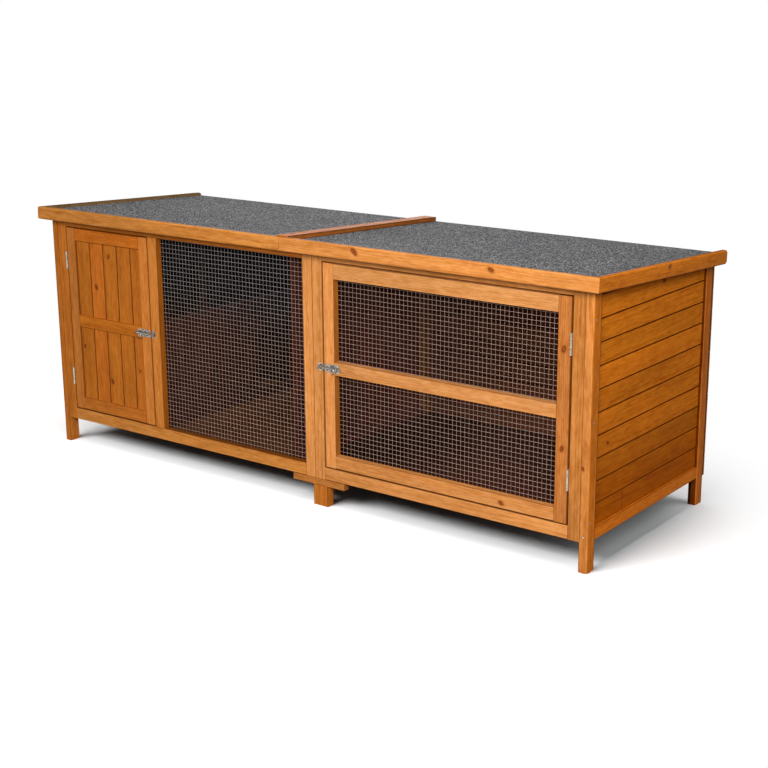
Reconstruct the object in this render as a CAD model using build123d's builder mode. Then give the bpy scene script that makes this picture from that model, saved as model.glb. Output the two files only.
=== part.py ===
from build123d import *

import os
from math import cos, radians, sin, tan

os.makedirs("parts", exist_ok=True)

# A long single-storey rabbit hutch: boarded bedroom, two wire runs and a felted pent roof in two halves.
# Millimetres. +X runs along the front away from the bedroom, +Y runs to the back, +Z is up.
# The origin is on the ground under the middle of the roof.

# Roof and stance
roof_length = 1830.0
roof_depth = 661.0
roof_angle = 3.16
end_overhang = 25.0
front_overhang = 28.0
back_overhang = 28.5
ground_clearance = 74.0

# Legs, and the foot under the seam of the two front frames
leg_width = 22.0
leg_depth = 33.0
leg_round = 4.0
post_width = 46.0
post_depth = 22.0
foot_width = 46.0
foot_depth = 24.0
foot_shift = 17.0
cross_block_length = 171.0
cross_block_side = 19.0
cross_block_shift = 9.0

# Front frames
frame_thickness = 20.0
frame_setback = 1.5
frame_stile = 32.0
mid_stile = 34.0
frame_bottom_rail = 34.0
frame_top_rail = 30.5
doorway_height = 542.5
left_doorway = 332.0
front_seam = 82.0
edge_ease = 1.2

# Doors
door_gap = 3.0
hinge_gap = 4.0
door_stile = 34.0
door_rail = 36.0
door_mid_rail = 35.0
door_mid_height = 377.0
mesh_door_top_rail = 40.0

# Frame joints
tenon_thickness = 8.0
tenon_length = 10.0
tenon_shoulder = 6.0
top_tenon_height = 16.0
end_clearance = 0.5

# Matched boards
board_cover = 54.75
board_thickness = 9.5
board_gap = 0.4
tongue_length = 4.5
tongue_thickness = 3.2
tongue_clearance = 0.3
board_vee = 1.8
least_board = 14.0

# Sides
side_recess = 6.5
side_rail_height = 30.0
side_rail_thickness = 20.0
housing_depth = 8.0
least_top_board = 30.0

# Planks in the bedroom door
plank_thickness = 8.0
plank_setback = 4.0
plank_groove = 6.0

# Wire nets
wire = 1.2
net_square = 48.4
net_lap = 8.0

# Floor and inner walls
floor_thickness = 9.0
floor_height = 99.0
bearer_width = 20.0
divider_height = 405.0
batten_side = 18.0
pophole_boards = 3
pophole_height = 183.0
pophole_margin = 17.0
partition_face = -2.0
partition_front_gap = 1.0
partition_batten_inset = 5.0

# Roof pieces
deck_thickness = 10.0
felt_thickness = 2.0
felt_lip = 12.0
fascia_height = 36.0
fascia_thickness = 12.0
fascia_upstand = 9.0
fascia_round = 4.5
fascia_end_round = 9.0
roof_joint_gap = 1.0
cover_batten_width = 40.0
cover_batten_thickness = 12.0
cover_batten_ease = 2.0

# Butt hinges
hinge_height = 52.0
hinge_leaf_width = 18.0
hinge_leaf_thickness = 1.2
hinge_knuckles = 3
hinge_knuckle_radius = 3.0
hinge_knuckle_gap = 0.4
hinge_relief = 3.6
hinge_pin_radius = 1.5
hinge_pin_clearance = 0.05
hinge_proud = 3.0
plank_door_hinge_inset = 96.0
mesh_door_hinge_inset = 108.0

# Barrel bolts
bolt_radius = 3.0
bolt_length = 54.0
bolt_clearance = 0.08
bolt_rest = 2.0
bolt_sheet = 1.2
bolt_plate_length = 46.0
bolt_plate_height = 21.0
bolt_plate_edge = 3.0
bolt_corner = 2.0
bolt_strap = 8.0
bolt_strap_inset = 3.0
bolt_knob_radius = 2.5
bolt_knob_length = 11.0
bolt_knob_ease = 1.0
bolt_knob_place = 22.5
bolt_knob_turn = 60.0
keep_length = 14.0
keep_edge = 2.0
keep_clearance = 0.4

# Places that pieces share, along the front
leg_outer = roof_length / 2 - end_overhang
leg_inner = leg_outer - leg_width
left_jamb = -leg_inner + frame_stile
mid_stile_left = left_jamb + left_doorway
mid_stile_right = mid_stile_left + mid_stile
mid_stile_middle = (mid_stile_left + mid_stile_right) / 2
seam_left_jamb = front_seam - frame_stile
seam_right_jamb = front_seam + frame_stile
right_jamb = leg_inner - frame_stile
plank_door_left = left_jamb + hinge_gap
plank_door_right = mid_stile_left - door_gap
planks_left = plank_door_left + door_stile
planks_right = plank_door_right - door_stile
mesh_door_left = seam_right_jamb + door_gap
mesh_door_right = right_jamb - hinge_gap
mesh_left = mesh_door_left + door_stile
mesh_right = mesh_door_right - door_stile
side_board_middle = leg_outer - side_recess - board_thickness / 2
divider_left = mid_stile_middle - board_thickness / 2

# Places that pieces share, from front to back
body_front = -roof_depth / 2 + front_overhang
body_back = roof_depth / 2 - back_overhang
frame_front = body_front + frame_setback
frame_back = frame_front + frame_thickness
frame_middle = (frame_front + frame_back) / 2
plank_middle = frame_front + plank_setback + plank_thickness / 2
front_leg_back = body_front + leg_depth
back_leg_front = body_back - leg_depth
post_front = body_back - post_depth
hinge_axis = frame_front - hinge_proud
bolt_face = frame_front - bolt_sheet
bolt_axis = bolt_face - bolt_radius - bolt_clearance
partition_front = frame_back + wire + partition_front_gap

# Heights that pieces share
doorway_bottom = ground_clearance + frame_bottom_rail
doorway_top = doorway_bottom + doorway_height
door_bottom = doorway_bottom + door_gap
door_top = doorway_top - door_gap
mid_rail_bottom = door_mid_height - door_mid_rail / 2
mid_rail_top = door_mid_height + door_mid_rail / 2
side_rail_top = ground_clearance + side_rail_height
floor_bottom = floor_height - floor_thickness

# The roof lies on a plane that falls to the back, and what stands under it is cut to that plane
roof_fall = radians(roof_angle)
roof_run = roof_depth / cos(roof_fall)
fascia_top = deck_thickness + felt_thickness + fascia_upstand
fascia_middle = fascia_top - fascia_height / 2
roof_middle = -fascia_middle * sin(roof_fall)
roof_rise = (frame_middle - roof_middle) * tan(roof_fall)
roof_seat_height = doorway_top + frame_top_rail + roof_rise
roof_centre = Vector(0, roof_middle, roof_seat_height)
down_slope = Vector(0, cos(roof_fall), -sin(roof_fall))
roof_seat = Plane(origin=roof_centre, x_dir=(1, 0, 0), z_dir=(0, sin(roof_fall), cos(roof_fall)))
roof_end = Plane(origin=roof_centre, x_dir=down_slope, z_dir=(1, 0, 0))
above_roof = roof_seat_height + roof_depth * tan(roof_fall)
back_wall_top = roof_seat_height - body_back * tan(roof_fall)
deck_side = roof_length / 2 - fascia_thickness
deck_front = -roof_run / 2 + fascia_thickness
deck_back = roof_run / 2 - felt_thickness

hands = (("left", -1), ("right", 1))
low_corner = (Align.CENTER, Align.CENTER, Align.MIN)
low_edge = (Align.MIN, Align.CENTER)


def finish(piece, name):
    """Name a finished piece and write it to its own file."""
    piece.part.label = name
    export_step(piece.part, f"parts/{name}.step")


def block(x_from, x_to, y_from, y_to, z_from, z_to):
    """A plain sawn stick or sheet."""
    with BuildPart() as stick:
        with BuildSketch(Plane.XY.offset(z_from)):
            with Locations(((x_from + x_to) / 2, (y_from + y_to) / 2)):
                Rectangle(x_to - x_from, y_to - y_from)
        extrude(amount=z_to - z_from)
    return stick


def stile(x_from, x_to, z_from, z_to, edge, tenons):
    """An upright of a frame with eased edges and a blind mortise in one edge for each tenon height."""
    with BuildPart() as member:
        with BuildSketch(Plane.XY.offset(z_from)) as section:
            with Locations(((x_from + x_to) / 2, frame_middle)):
                Rectangle(x_to - x_from, frame_thickness)
            chamfer(section.vertices(), edge_ease)
        extrude(amount=z_to - z_from)
        for low, high in tenons:
            with Locations((edge, frame_middle, low)):
                mortise = 2 * (tenon_length + end_clearance)
                Box(mortise, tenon_thickness, high - low, align=low_corner, mode=Mode.SUBTRACT)
        split(bisect_by=roof_seat, keep=Keep.BOTTOM)
    return member


def rail(x_from, x_to, z_from, z_to, tenon, mortise_height=None):
    """A crosspiece of a frame with a stub tenon on each end, and a mortise for the middle stile."""
    with BuildPart() as member:
        with BuildSketch(Plane.YZ.offset(x_from)) as section:
            with Locations((frame_middle, (z_from + z_to) / 2)):
                Rectangle(frame_thickness, z_to - z_from)
            chamfer(section.vertices(), edge_ease)
        extrude(amount=x_to - x_from)
        low, high = tenon
        with Locations(((x_from + x_to) / 2, frame_middle, low)):
            Box(x_to - x_from + 2 * tenon_length, tenon_thickness, high - low, align=low_corner)
        if mortise_height is not None:
            with Locations((mid_stile_middle, frame_middle, mortise_height)):
                mortise = 2 * (tenon_length + end_clearance)
                Box(mid_stile - 2 * tenon_shoulder, tenon_thickness, mortise, mode=Mode.SUBTRACT)
        split(bisect_by=roof_seat, keep=Keep.BOTTOM)
    return member


def joints(first, stop, least):
    """Places of the joints in a row of boards whose last board is at least that wide."""
    count = int((stop - least - first) // board_cover) + 1
    return [first + n * board_cover for n in range(count)]


def board_row(plane, edges, middle, face, thickness=board_thickness, tongued=True):
    """Section of a row of boards between the edges, with vees on one face and matched edges if tongued."""
    boards = list(zip(edges[:-1], edges[1:]))
    with BuildSketch(plane) as row:
        for low, high in boards:
            with Locations((middle, (low + high - board_gap) / 2)):
                Rectangle(thickness, high - low - board_gap)
        for low, high in boards[1:] if tongued else ():
            with Locations((middle, low)):
                groove = 2 * (tongue_length + tongue_clearance)
                Rectangle(tongue_thickness + 2 * tongue_clearance, groove, mode=Mode.SUBTRACT)
        for low, high in boards[:-1] if tongued else ():
            with Locations((middle, high - board_gap)):
                Rectangle(tongue_thickness, 2 * tongue_length)
        chamfer(row.vertices().group_by(Axis.X)[face], board_vee)
    return row.sketch


def net(x_from, x_to, z_from, z_to):
    """Welded wire sheet over an opening, lapped on the back of its frame."""
    width = x_to - x_from + 2 * net_lap
    height = z_to - z_from + 2 * net_lap
    with BuildPart() as sheet:
        with BuildSketch(Plane.XZ.offset(-frame_back - wire)):
            with Locations(((x_from + x_to) / 2, (z_from + z_to) / 2)):
                Rectangle(width, height)
                with GridLocations(net_square, net_square, int(width // net_square), int(height // net_square)):
                    Rectangle(net_square - wire, net_square - wire, mode=Mode.SUBTRACT)
        extrude(amount=wire)
    return sheet


# Corner legs, rounded on the outer front corner and grooved for the side boards
for end, leg_front, groove_mouth in (
    ("front", body_front, front_leg_back),
    ("back", back_leg_front, back_leg_front),
):
    for side, hand in hands:
        with BuildPart() as leg:
            with BuildSketch() as section:
                with Locations((hand * (leg_outer + leg_inner) / 2, leg_front + leg_depth / 2)):
                    Rectangle(leg_width, leg_depth)
                front_corners = section.vertices().group_by(Axis.Y)[0]
                fillet(front_corners.sort_by(Axis.X)[max(hand, 0)], leg_round)
            extrude(amount=above_roof)
            with Locations((hand * side_board_middle, groove_mouth, ground_clearance)):
                Box(board_thickness, 2 * housing_depth, above_roof, align=low_corner, mode=Mode.SUBTRACT)
            split(bisect_by=roof_seat, keep=Keep.BOTTOM)
        finish(leg, f"leg_{end}_{side}")

# Middle leg at the back, which carries the joint of the back boards
with BuildPart() as leg_back_middle:
    with BuildSketch():
        with Locations((0, (post_front + body_back) / 2)):
            Rectangle(post_width, post_depth)
    extrude(amount=above_roof)
    split(bisect_by=roof_seat, keep=Keep.BOTTOM)
finish(leg_back_middle, "leg_back_middle")

# Cross block under the seam of the front frames, and the foot under it
cross_block_middle = front_seam + cross_block_shift
cross_block_bottom = ground_clearance - cross_block_side
cross_block = block(
    cross_block_middle - cross_block_length / 2,
    cross_block_middle + cross_block_length / 2,
    frame_front,
    frame_front + cross_block_side,
    cross_block_bottom,
    ground_clearance,
)
finish(cross_block, "cross_block")

foot_middle = front_seam + foot_shift
foot_left = foot_middle - foot_width / 2
foot_right = foot_middle + foot_width / 2
foot_front = block(foot_left, foot_right, body_front, body_front + foot_depth, 0, cross_block_bottom)
finish(foot_front, "foot_front")

# The two front frames: stiles to the roof, rails between them
bottom_tenon = (ground_clearance + tenon_shoulder, doorway_bottom - tenon_shoulder)
top_tenon = (doorway_top + tenon_shoulder, doorway_top + tenon_shoulder + top_tenon_height)
for name, x_from, x_to, edge in (
    ("frame_left_stile", -leg_inner, left_jamb, left_jamb),
    ("frame_seam_stile_left", seam_left_jamb, front_seam, seam_left_jamb),
    ("frame_seam_stile_right", front_seam, seam_right_jamb, seam_right_jamb),
    ("frame_right_stile", right_jamb, leg_inner, right_jamb),
):
    frame_upright = stile(x_from, x_to, ground_clearance, above_roof, edge, (bottom_tenon, top_tenon))
    finish(frame_upright, name)

for side, x_from, x_to, has_mid_stile in (
    ("left", left_jamb, seam_left_jamb, True),
    ("right", seam_right_jamb, right_jamb, False),
):
    low_mortise = doorway_bottom if has_mid_stile else None
    high_mortise = doorway_top if has_mid_stile else None
    bottom_rail = rail(x_from, x_to, ground_clearance, doorway_bottom, bottom_tenon, low_mortise)
    finish(bottom_rail, f"frame_{side}_bottom_rail")
    top_rail = rail(x_from, x_to, doorway_top, above_roof, top_tenon, high_mortise)
    finish(top_rail, f"frame_{side}_top_rail")

# Stile between the bedroom door and the fixed wire, tenoned into both rails
with BuildPart() as frame_mid_stile:
    with BuildSketch(Plane.XY.offset(doorway_bottom)) as section:
        with Locations((mid_stile_middle, frame_middle)):
            Rectangle(mid_stile, frame_thickness)
        chamfer(section.vertices(), edge_ease)
    extrude(amount=doorway_height)
    with Locations((mid_stile_middle, frame_middle, (doorway_bottom + doorway_top) / 2)):
        Box(mid_stile - 2 * tenon_shoulder, tenon_thickness, doorway_height + 2 * tenon_length)
finish(frame_mid_stile, "frame_mid_stile")

# Fixed wire over the first run
run_mesh = net(mid_stile_right, seam_left_jamb, doorway_bottom, doorway_top)
finish(run_mesh, "run_mesh")

# Bedroom door: stiles grooved on the inner edge
for name, x_from, x_to, inner_edge in (
    ("left_door_hinge_stile", plank_door_left, planks_left, planks_left),
    ("left_door_latch_stile", planks_right, plank_door_right, planks_right),
):
    with BuildPart() as grooved_stile:
        with BuildSketch(Plane.XY.offset(door_bottom)) as section:
            with Locations(((x_from + x_to) / 2, frame_middle)):
                Rectangle(door_stile, frame_thickness)
            chamfer(section.vertices(), edge_ease)
            with Locations((inner_edge, plank_middle)):
                Rectangle(2 * plank_groove, plank_thickness, mode=Mode.SUBTRACT)
        extrude(amount=door_top - door_bottom)
    finish(grooved_stile, name)

# Bedroom door: rails grooved for the planks, with stub tenons in the grooves of the stiles
plank_housed = plank_groove - end_clearance
planks_width = planks_right - planks_left
for name, z_from, z_to, planks_below, planks_above in (
    ("left_door_top_rail", door_top - door_rail, door_top, True, False),
    ("left_door_mid_rail", mid_rail_bottom, mid_rail_top, True, True),
    ("left_door_bottom_rail", door_bottom, door_bottom + door_rail, False, True),
):
    grooved_edges = [z_from] * planks_below + [z_to] * planks_above
    tenon_bottom = z_from + plank_groove * planks_below
    tenon_top = z_to - plank_groove * planks_above
    with BuildPart() as grooved_rail:
        with BuildSketch(Plane.YZ.offset(planks_left)) as section:
            with Locations((frame_middle, (z_from + z_to) / 2)):
                Rectangle(frame_thickness, z_to - z_from)
            chamfer(section.vertices(), edge_ease)
            with Locations([(plank_middle, z) for z in grooved_edges]):
                Rectangle(plank_thickness, 2 * plank_groove, mode=Mode.SUBTRACT)
        extrude(amount=planks_width)
        with Locations(((planks_left + planks_right) / 2, plank_middle, tenon_bottom)):
            Box(planks_width + 2 * plank_housed, plank_thickness, tenon_top - tenon_bottom, align=low_corner)
    finish(grooved_rail, name)

# Bedroom door: planks of the wall boards' width, in an upper and a lower set
plank_edges = [
    planks_left - plank_housed,
    *joints(planks_left + board_cover, planks_right, least_board),
    planks_right + plank_housed + board_gap,
]
plank_sets = []
for set_bottom, set_top in (
    (door_bottom + door_rail - plank_housed, mid_rail_bottom + plank_housed),
    (mid_rail_top - plank_housed, door_top - door_rail + plank_housed),
):
    set_plane = Plane(origin=(0, 0, set_top), x_dir=(0, 1, 0), z_dir=(0, 0, -1))
    section = board_row(set_plane, plank_edges, plank_middle, 0, plank_thickness)
    plank_sets.append((section, set_top - set_bottom))
with BuildPart() as left_door_planks:
    for section, length in plank_sets:
        extrude(section, amount=length)
finish(left_door_planks, "left_door_planks")

# Wire door: mortised stiles, three rails and the wire behind them
mesh_door_rails = (
    ("right_door_bottom_rail", door_bottom, door_bottom + door_stile),
    ("right_door_mid_rail", mid_rail_bottom, mid_rail_top),
    ("right_door_top_rail", door_top - mesh_door_top_rail, door_top),
)
mesh_door_tenons = [(low + tenon_shoulder, high - tenon_shoulder) for name, low, high in mesh_door_rails]
for name, x_from, x_to, edge in (
    ("right_door_latch_stile", mesh_door_left, mesh_left, mesh_left),
    ("right_door_hinge_stile", mesh_right, mesh_door_right, mesh_right),
):
    door_upright = stile(x_from, x_to, door_bottom, door_top, edge, mesh_door_tenons)
    finish(door_upright, name)
for (name, low, high), tenon in zip(mesh_door_rails, mesh_door_tenons):
    door_crosspiece = rail(mesh_left, mesh_right, low, high, tenon)
    finish(door_crosspiece, name)
right_door_mesh = net(mesh_left, mesh_right, door_bottom + door_stile, door_top - mesh_door_top_rail)
finish(right_door_mesh, "right_door_mesh")

# Side walls: a rail and matched boards housed in the grooves of the legs, the top board cut to the roof
side_housed = housing_depth - end_clearance
side_length = back_leg_front - front_leg_back
side_middle = (back_leg_front + front_leg_back) / 2
side_edges = [
    side_rail_top,
    *joints(side_rail_top + board_cover, back_wall_top, least_top_board),
    above_roof,
]
for side, hand in hands:
    with BuildPart() as side_rail:
        with Locations((hand * (leg_inner + side_rail_thickness / 2), side_middle, ground_clearance)):
            Box(side_rail_thickness, side_length, side_rail_height, align=low_corner)
        with Locations((hand * side_board_middle, side_middle, ground_clearance)):
            Box(board_thickness, side_length + 2 * side_housed, side_rail_height, align=low_corner)
    finish(side_rail, f"{side}_side_rail")

    side_plane = Plane.XZ.offset(-back_leg_front - side_housed)
    section = board_row(side_plane, side_edges, hand * side_board_middle, min(-hand, 0))
    with BuildPart() as side_boards:
        extrude(section, amount=side_length + 2 * side_housed)
        split(bisect_by=roof_seat, keep=Keep.BOTTOM)
    finish(side_boards, f"{side}_side_boards")

# Back wall: two lengths of matched boards that meet on the middle leg
back_edges = [
    ground_clearance,
    *joints(ground_clearance + board_cover, back_wall_top, least_board),
    above_roof,
]
for side, x_from in (("left", -leg_outer), ("right", board_gap / 2)):
    section = board_row(Plane.YZ.offset(x_from), back_edges, body_back + board_thickness / 2, -1)
    with BuildPart() as back_boards:
        extrude(section, amount=leg_outer - board_gap / 2)
        split(bisect_by=roof_seat, keep=Keep.BOTTOM)
    finish(back_boards, f"back_boards_{side}")

# Floor sheets on bearers, notched round the middle leg
for side, hand in hands:
    with BuildPart() as floor:
        with BuildSketch(Plane.XY.offset(floor_bottom)):
            with Locations((hand * (leg_inner + board_gap / 2) / 2, (frame_back + body_back) / 2)):
                Rectangle(leg_inner - board_gap / 2, body_back - frame_back)
            with Locations((0, (post_front + body_back) / 2)):
                Rectangle(post_width, post_depth, mode=Mode.SUBTRACT)
        extrude(amount=floor_thickness)
    finish(floor, f"floor_{side}")

with BuildPart() as floor_bearers:
    with BuildSketch(Plane.XY.offset(ground_clearance)):
        for side, hand in hands:
            with Locations((hand * (leg_inner + board_gap / 2) / 2, frame_back + bearer_width / 2)):
                Rectangle(leg_inner - board_gap / 2, bearer_width)
            with Locations((hand * (leg_inner + post_width / 2) / 2, body_back - bearer_width / 2)):
                Rectangle(leg_inner - post_width / 2, bearer_width)
    extrude(amount=floor_bottom - ground_clearance)
finish(floor_bearers, "floor_bearers")

# Low wall of the bedroom, with a pop hole cut through whole boards near the back
hole_back = body_back - pophole_margin
whole_boards = int((hole_back - least_board - frame_back) // board_cover)
divider_first = hole_back - whole_boards * board_cover
divider_edges = [
    frame_back,
    *[divider_first + n * board_cover for n in range(whole_boards + 1)],
    body_back + board_gap,
]
section = board_row(Plane.XY.offset(floor_height), divider_edges, mid_stile_middle, -1, tongued=False)
with BuildPart() as divider_boards:
    extrude(section, amount=divider_height - floor_height)
    hole_width = pophole_boards * board_cover
    with Locations((mid_stile_middle, hole_back - board_gap - hole_width / 2, floor_height + batten_side)):
        Box(2 * board_thickness, hole_width, pophole_height, align=low_corner, mode=Mode.SUBTRACT)
finish(divider_boards, "divider_boards")

with BuildPart() as divider_battens:
    for batten_bottom in (floor_height, divider_height - batten_side):
        with Locations((divider_left - batten_side / 2, (frame_back + body_back) / 2, batten_bottom)):
            Box(batten_side, body_back - frame_back, batten_side, align=low_corner)
finish(divider_battens, "divider_battens")

# Full wall between the two runs
partition_middle = partition_face - board_thickness / 2
partition_edges = [
    partition_front,
    *joints(partition_front + board_cover, post_front, least_board),
    post_front + board_gap,
]
section = board_row(Plane.XY.offset(floor_height), partition_edges, partition_middle, -1, tongued=False)
with BuildPart() as partition_boards:
    extrude(section, amount=above_roof - floor_height)
    split(bisect_by=roof_seat, keep=Keep.BOTTOM)
finish(partition_boards, "partition_boards")

partition_batten_middle = partition_face + batten_side / 2
partition_centre = (partition_front + post_front) / 2
partition_batten_length = post_front - partition_front - 2 * partition_batten_inset
with BuildPart() as partition_battens:
    with Locations((partition_batten_middle, partition_centre, floor_height)):
        Box(batten_side, partition_batten_length, batten_side, align=low_corner)
    with BuildSketch(roof_seat):
        with Locations((partition_batten_middle, partition_centre)):
            Rectangle(batten_side, partition_batten_length)
    extrude(amount=-batten_side)
finish(partition_battens, "partition_battens")

# Roof halves: deck, felt turned down over the back edge, and fascias mitred at the front corners
half_length = deck_side - roof_joint_gap / 2
for side, hand in hands:
    half_middle = hand * (deck_side + roof_joint_gap / 2) / 2
    with BuildPart() as deck:
        with BuildSketch(roof_seat):
            with Locations((half_middle, (deck_front + deck_back) / 2)):
                Rectangle(half_length, deck_back - deck_front)
        extrude(amount=deck_thickness)
    finish(deck, f"roof_deck_{side}")

    with BuildPart() as felt:
        with BuildSketch(roof_seat.offset(deck_thickness)):
            with Locations((half_middle, (deck_front + roof_run / 2) / 2)):
                Rectangle(half_length, roof_run / 2 - deck_front)
        extrude(amount=felt_thickness)
        with BuildSketch(roof_seat.offset(deck_thickness)):
            with Locations((half_middle, (deck_back + roof_run / 2) / 2)):
                Rectangle(half_length, felt_thickness)
        extrude(amount=-felt_lip)
    finish(felt, f"roof_felt_{side}")

    corner = roof_seat.from_local_coords((hand * roof_length / 2, -roof_run / 2, 0))
    mitre = Plane(origin=corner, z_dir=Vector(hand, 0, 0) + down_slope)
    with BuildPart() as front_fascia:
        with BuildSketch(roof_end.offset(hand * roof_joint_gap / 2)) as section:
            with Locations((-roof_run / 2 + fascia_thickness / 2, fascia_middle)):
                Rectangle(fascia_thickness, fascia_height)
            fillet(section.vertices().group_by(Axis.X)[0], fascia_round)
        extrude(amount=hand * (roof_length - roof_joint_gap) / 2)
        split(bisect_by=mitre, keep=Keep.BOTTOM)
    finish(front_fascia, f"front_fascia_{side}")

    with BuildPart() as side_fascia:
        with BuildSketch(roof_end.offset(hand * deck_side)) as section:
            with Locations((0, fascia_middle)):
                Rectangle(roof_run, fascia_height)
            fillet(section.vertices().group_by(Axis.X)[-1], fascia_end_round)
        extrude(amount=hand * fascia_thickness)
        outer_face = side_fascia.faces().sort_by(Axis.X)[min(-hand, 0)]
        fillet(outer_face.edges().sort_by(Axis.Y)[1:], fascia_round)
        split(bisect_by=mitre, keep=Keep.TOP)
    finish(side_fascia, f"side_fascia_{side}")

# Batten over the joint of the roof halves
with BuildPart() as roof_cover_batten:
    with BuildSketch(roof_seat.offset(deck_thickness + felt_thickness)):
        with Locations((0, (deck_front + roof_run / 2) / 2)):
            Rectangle(cover_batten_width, roof_run / 2 - deck_front)
    extrude(amount=cover_batten_thickness)
    chamfer(roof_cover_batten.faces().sort_by(Axis.Z)[-1].edges(), cover_batten_ease)
finish(roof_cover_batten, "roof_cover_batten")

# Butt hinges: two to a door, the outer knuckles on the frame and the middle one on the door
knuckle_pitch = hinge_height / hinge_knuckles
left_hinges = [
    (left_jamb + hinge_gap / 2, z, 1)
    for z in (door_bottom + plank_door_hinge_inset, door_top - plank_door_hinge_inset)
]
right_hinges = [
    (right_jamb - hinge_gap / 2, z, -1)
    for z in (door_bottom + mesh_door_hinge_inset, door_top - mesh_door_hinge_inset)
]
frame_knuckles = range(0, hinge_knuckles, 2)
door_knuckles = range(1, hinge_knuckles, 2)


def hinge_leaves(hinges, on_door, knuckles):
    """Leaves of some hinges, each a plate in the gap of the door with its knuckles on the hinge line."""
    with BuildPart() as leaves:
        for x, z, towards_door in hinges:
            towards = towards_door if on_door else -towards_door
            leaf_x = x + towards * (hinge_gap - hinge_leaf_thickness) / 2
            leaf_bottom = z - hinge_height / 2
            with BuildSketch(Plane.XY.offset(leaf_bottom)):
                with Locations((leaf_x, hinge_axis + (hinge_relief + hinge_leaf_width) / 2)):
                    Rectangle(hinge_leaf_thickness, hinge_leaf_width - hinge_relief)
            extrude(amount=hinge_height)
            for n in knuckles:
                with BuildSketch(Plane.XY.offset(leaf_bottom + n * knuckle_pitch + hinge_knuckle_gap / 2)):
                    with Locations((x, hinge_axis)):
                        Circle(hinge_knuckle_radius)
                    with Locations((leaf_x, hinge_axis + hinge_relief / 2)):
                        Rectangle(hinge_leaf_thickness, hinge_relief)
                    with Locations((x, hinge_axis)):
                        Circle(hinge_pin_radius + hinge_pin_clearance, mode=Mode.SUBTRACT)
                extrude(amount=knuckle_pitch - hinge_knuckle_gap)
    return leaves


finish(hinge_leaves(left_hinges + right_hinges, False, frame_knuckles), "hinge_frame_leaves")
finish(hinge_leaves(left_hinges, True, door_knuckles), "left_hinge_door_leaves")
finish(hinge_leaves(right_hinges, True, door_knuckles), "right_hinge_door_leaves")

with BuildPart() as hinge_pins:
    with Locations([(x, hinge_axis, z) for x, z, towards_door in left_hinges + right_hinges]):
        Cylinder(hinge_pin_radius, hinge_height)
finish(hinge_pins, "hinge_pins")


def strap_section(x, bore):
    """Section of a pressed strap that arches over the bolt and stands on its plate."""
    with BuildSketch(Plane.YZ.offset(x)) as arch:
        with Locations((bolt_axis, door_mid_height)):
            Circle(bore + bolt_sheet)
            Rectangle(bolt_face - bolt_axis, 2 * (bore + bolt_sheet), align=low_edge)
            Circle(bore, mode=Mode.SUBTRACT)
            Rectangle(bolt_face - bolt_axis, 2 * bore, align=low_edge, mode=Mode.SUBTRACT)
        with Locations((bolt_face, door_mid_height)):
            Rectangle(bore + bolt_sheet, 2 * (bore + bolt_sheet), align=low_edge, mode=Mode.SUBTRACT)
    return arch.sketch


def strapped_plate(x_middle, length, straps, bore):
    """A plate with clipped corners and its straps, screwed flat to the face of a frame."""
    arches = [strap_section(x, bore) for x in straps]
    with BuildPart() as plate:
        with BuildSketch(Plane.XZ.offset(-frame_front)) as outline:
            with Locations((x_middle, door_mid_height)):
                Rectangle(length, bolt_plate_height)
            chamfer(outline.vertices(), bolt_corner)
        extrude(amount=bolt_sheet)
        for arch in arches:
            extrude(arch, amount=bolt_strap)
    return plate


# Barrel bolts: a strapped plate and a sliding bolt on each door, and a keep on the frame beside it
knob_way = (0, -cos(radians(bolt_knob_turn)), -sin(radians(bolt_knob_turn)))
keeps = []
for side, door_edge, jamb, way in (
    ("left", plank_door_right, mid_stile_left, 1),
    ("right", mesh_door_left, seam_right_jamb, -1),
):
    plate_middle = door_edge - way * (bolt_plate_edge + bolt_plate_length / 2)
    strap_reach = bolt_plate_length / 2 - bolt_strap_inset - bolt_strap
    straps = (plate_middle - strap_reach - bolt_strap, plate_middle + strap_reach)
    bolt_plate = strapped_plate(plate_middle, bolt_plate_length, straps, bolt_radius + bolt_clearance)
    finish(bolt_plate, f"{side}_bolt_plate")

    bolt_tip = door_edge - way * bolt_rest
    knob_root = (bolt_tip - way * (bolt_length - bolt_knob_place), bolt_axis, door_mid_height)
    with BuildPart() as bolt_rod:
        with BuildSketch(Plane.YZ.offset(bolt_tip)):
            with Locations((bolt_axis, door_mid_height)):
                Circle(bolt_radius)
        extrude(amount=-way * bolt_length)
        with BuildSketch(Plane(origin=knob_root, x_dir=(1, 0, 0), z_dir=knob_way)):
            Circle(bolt_knob_radius)
        extrude(amount=bolt_radius + bolt_knob_length)
        chamfer(bolt_rod.edges().filter_by(GeomType.CIRCLE).sort_by(Axis.Z)[0], bolt_knob_ease)
    finish(bolt_rod, f"{side}_bolt_rod")

    keep_middle = jamb + way * (keep_edge + keep_length / 2)
    keep_strap = (keep_middle - bolt_strap / 2,)
    keeps.append(strapped_plate(keep_middle, keep_length, keep_strap, bolt_radius + keep_clearance))

with BuildPart() as bolt_keeps:
    for keep in keeps:
        add(keep.part)
finish(bolt_keeps, "bolt_keeps")
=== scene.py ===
import math

import bmesh
import bpy
from mathutils import Matrix, Vector, noise


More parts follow.
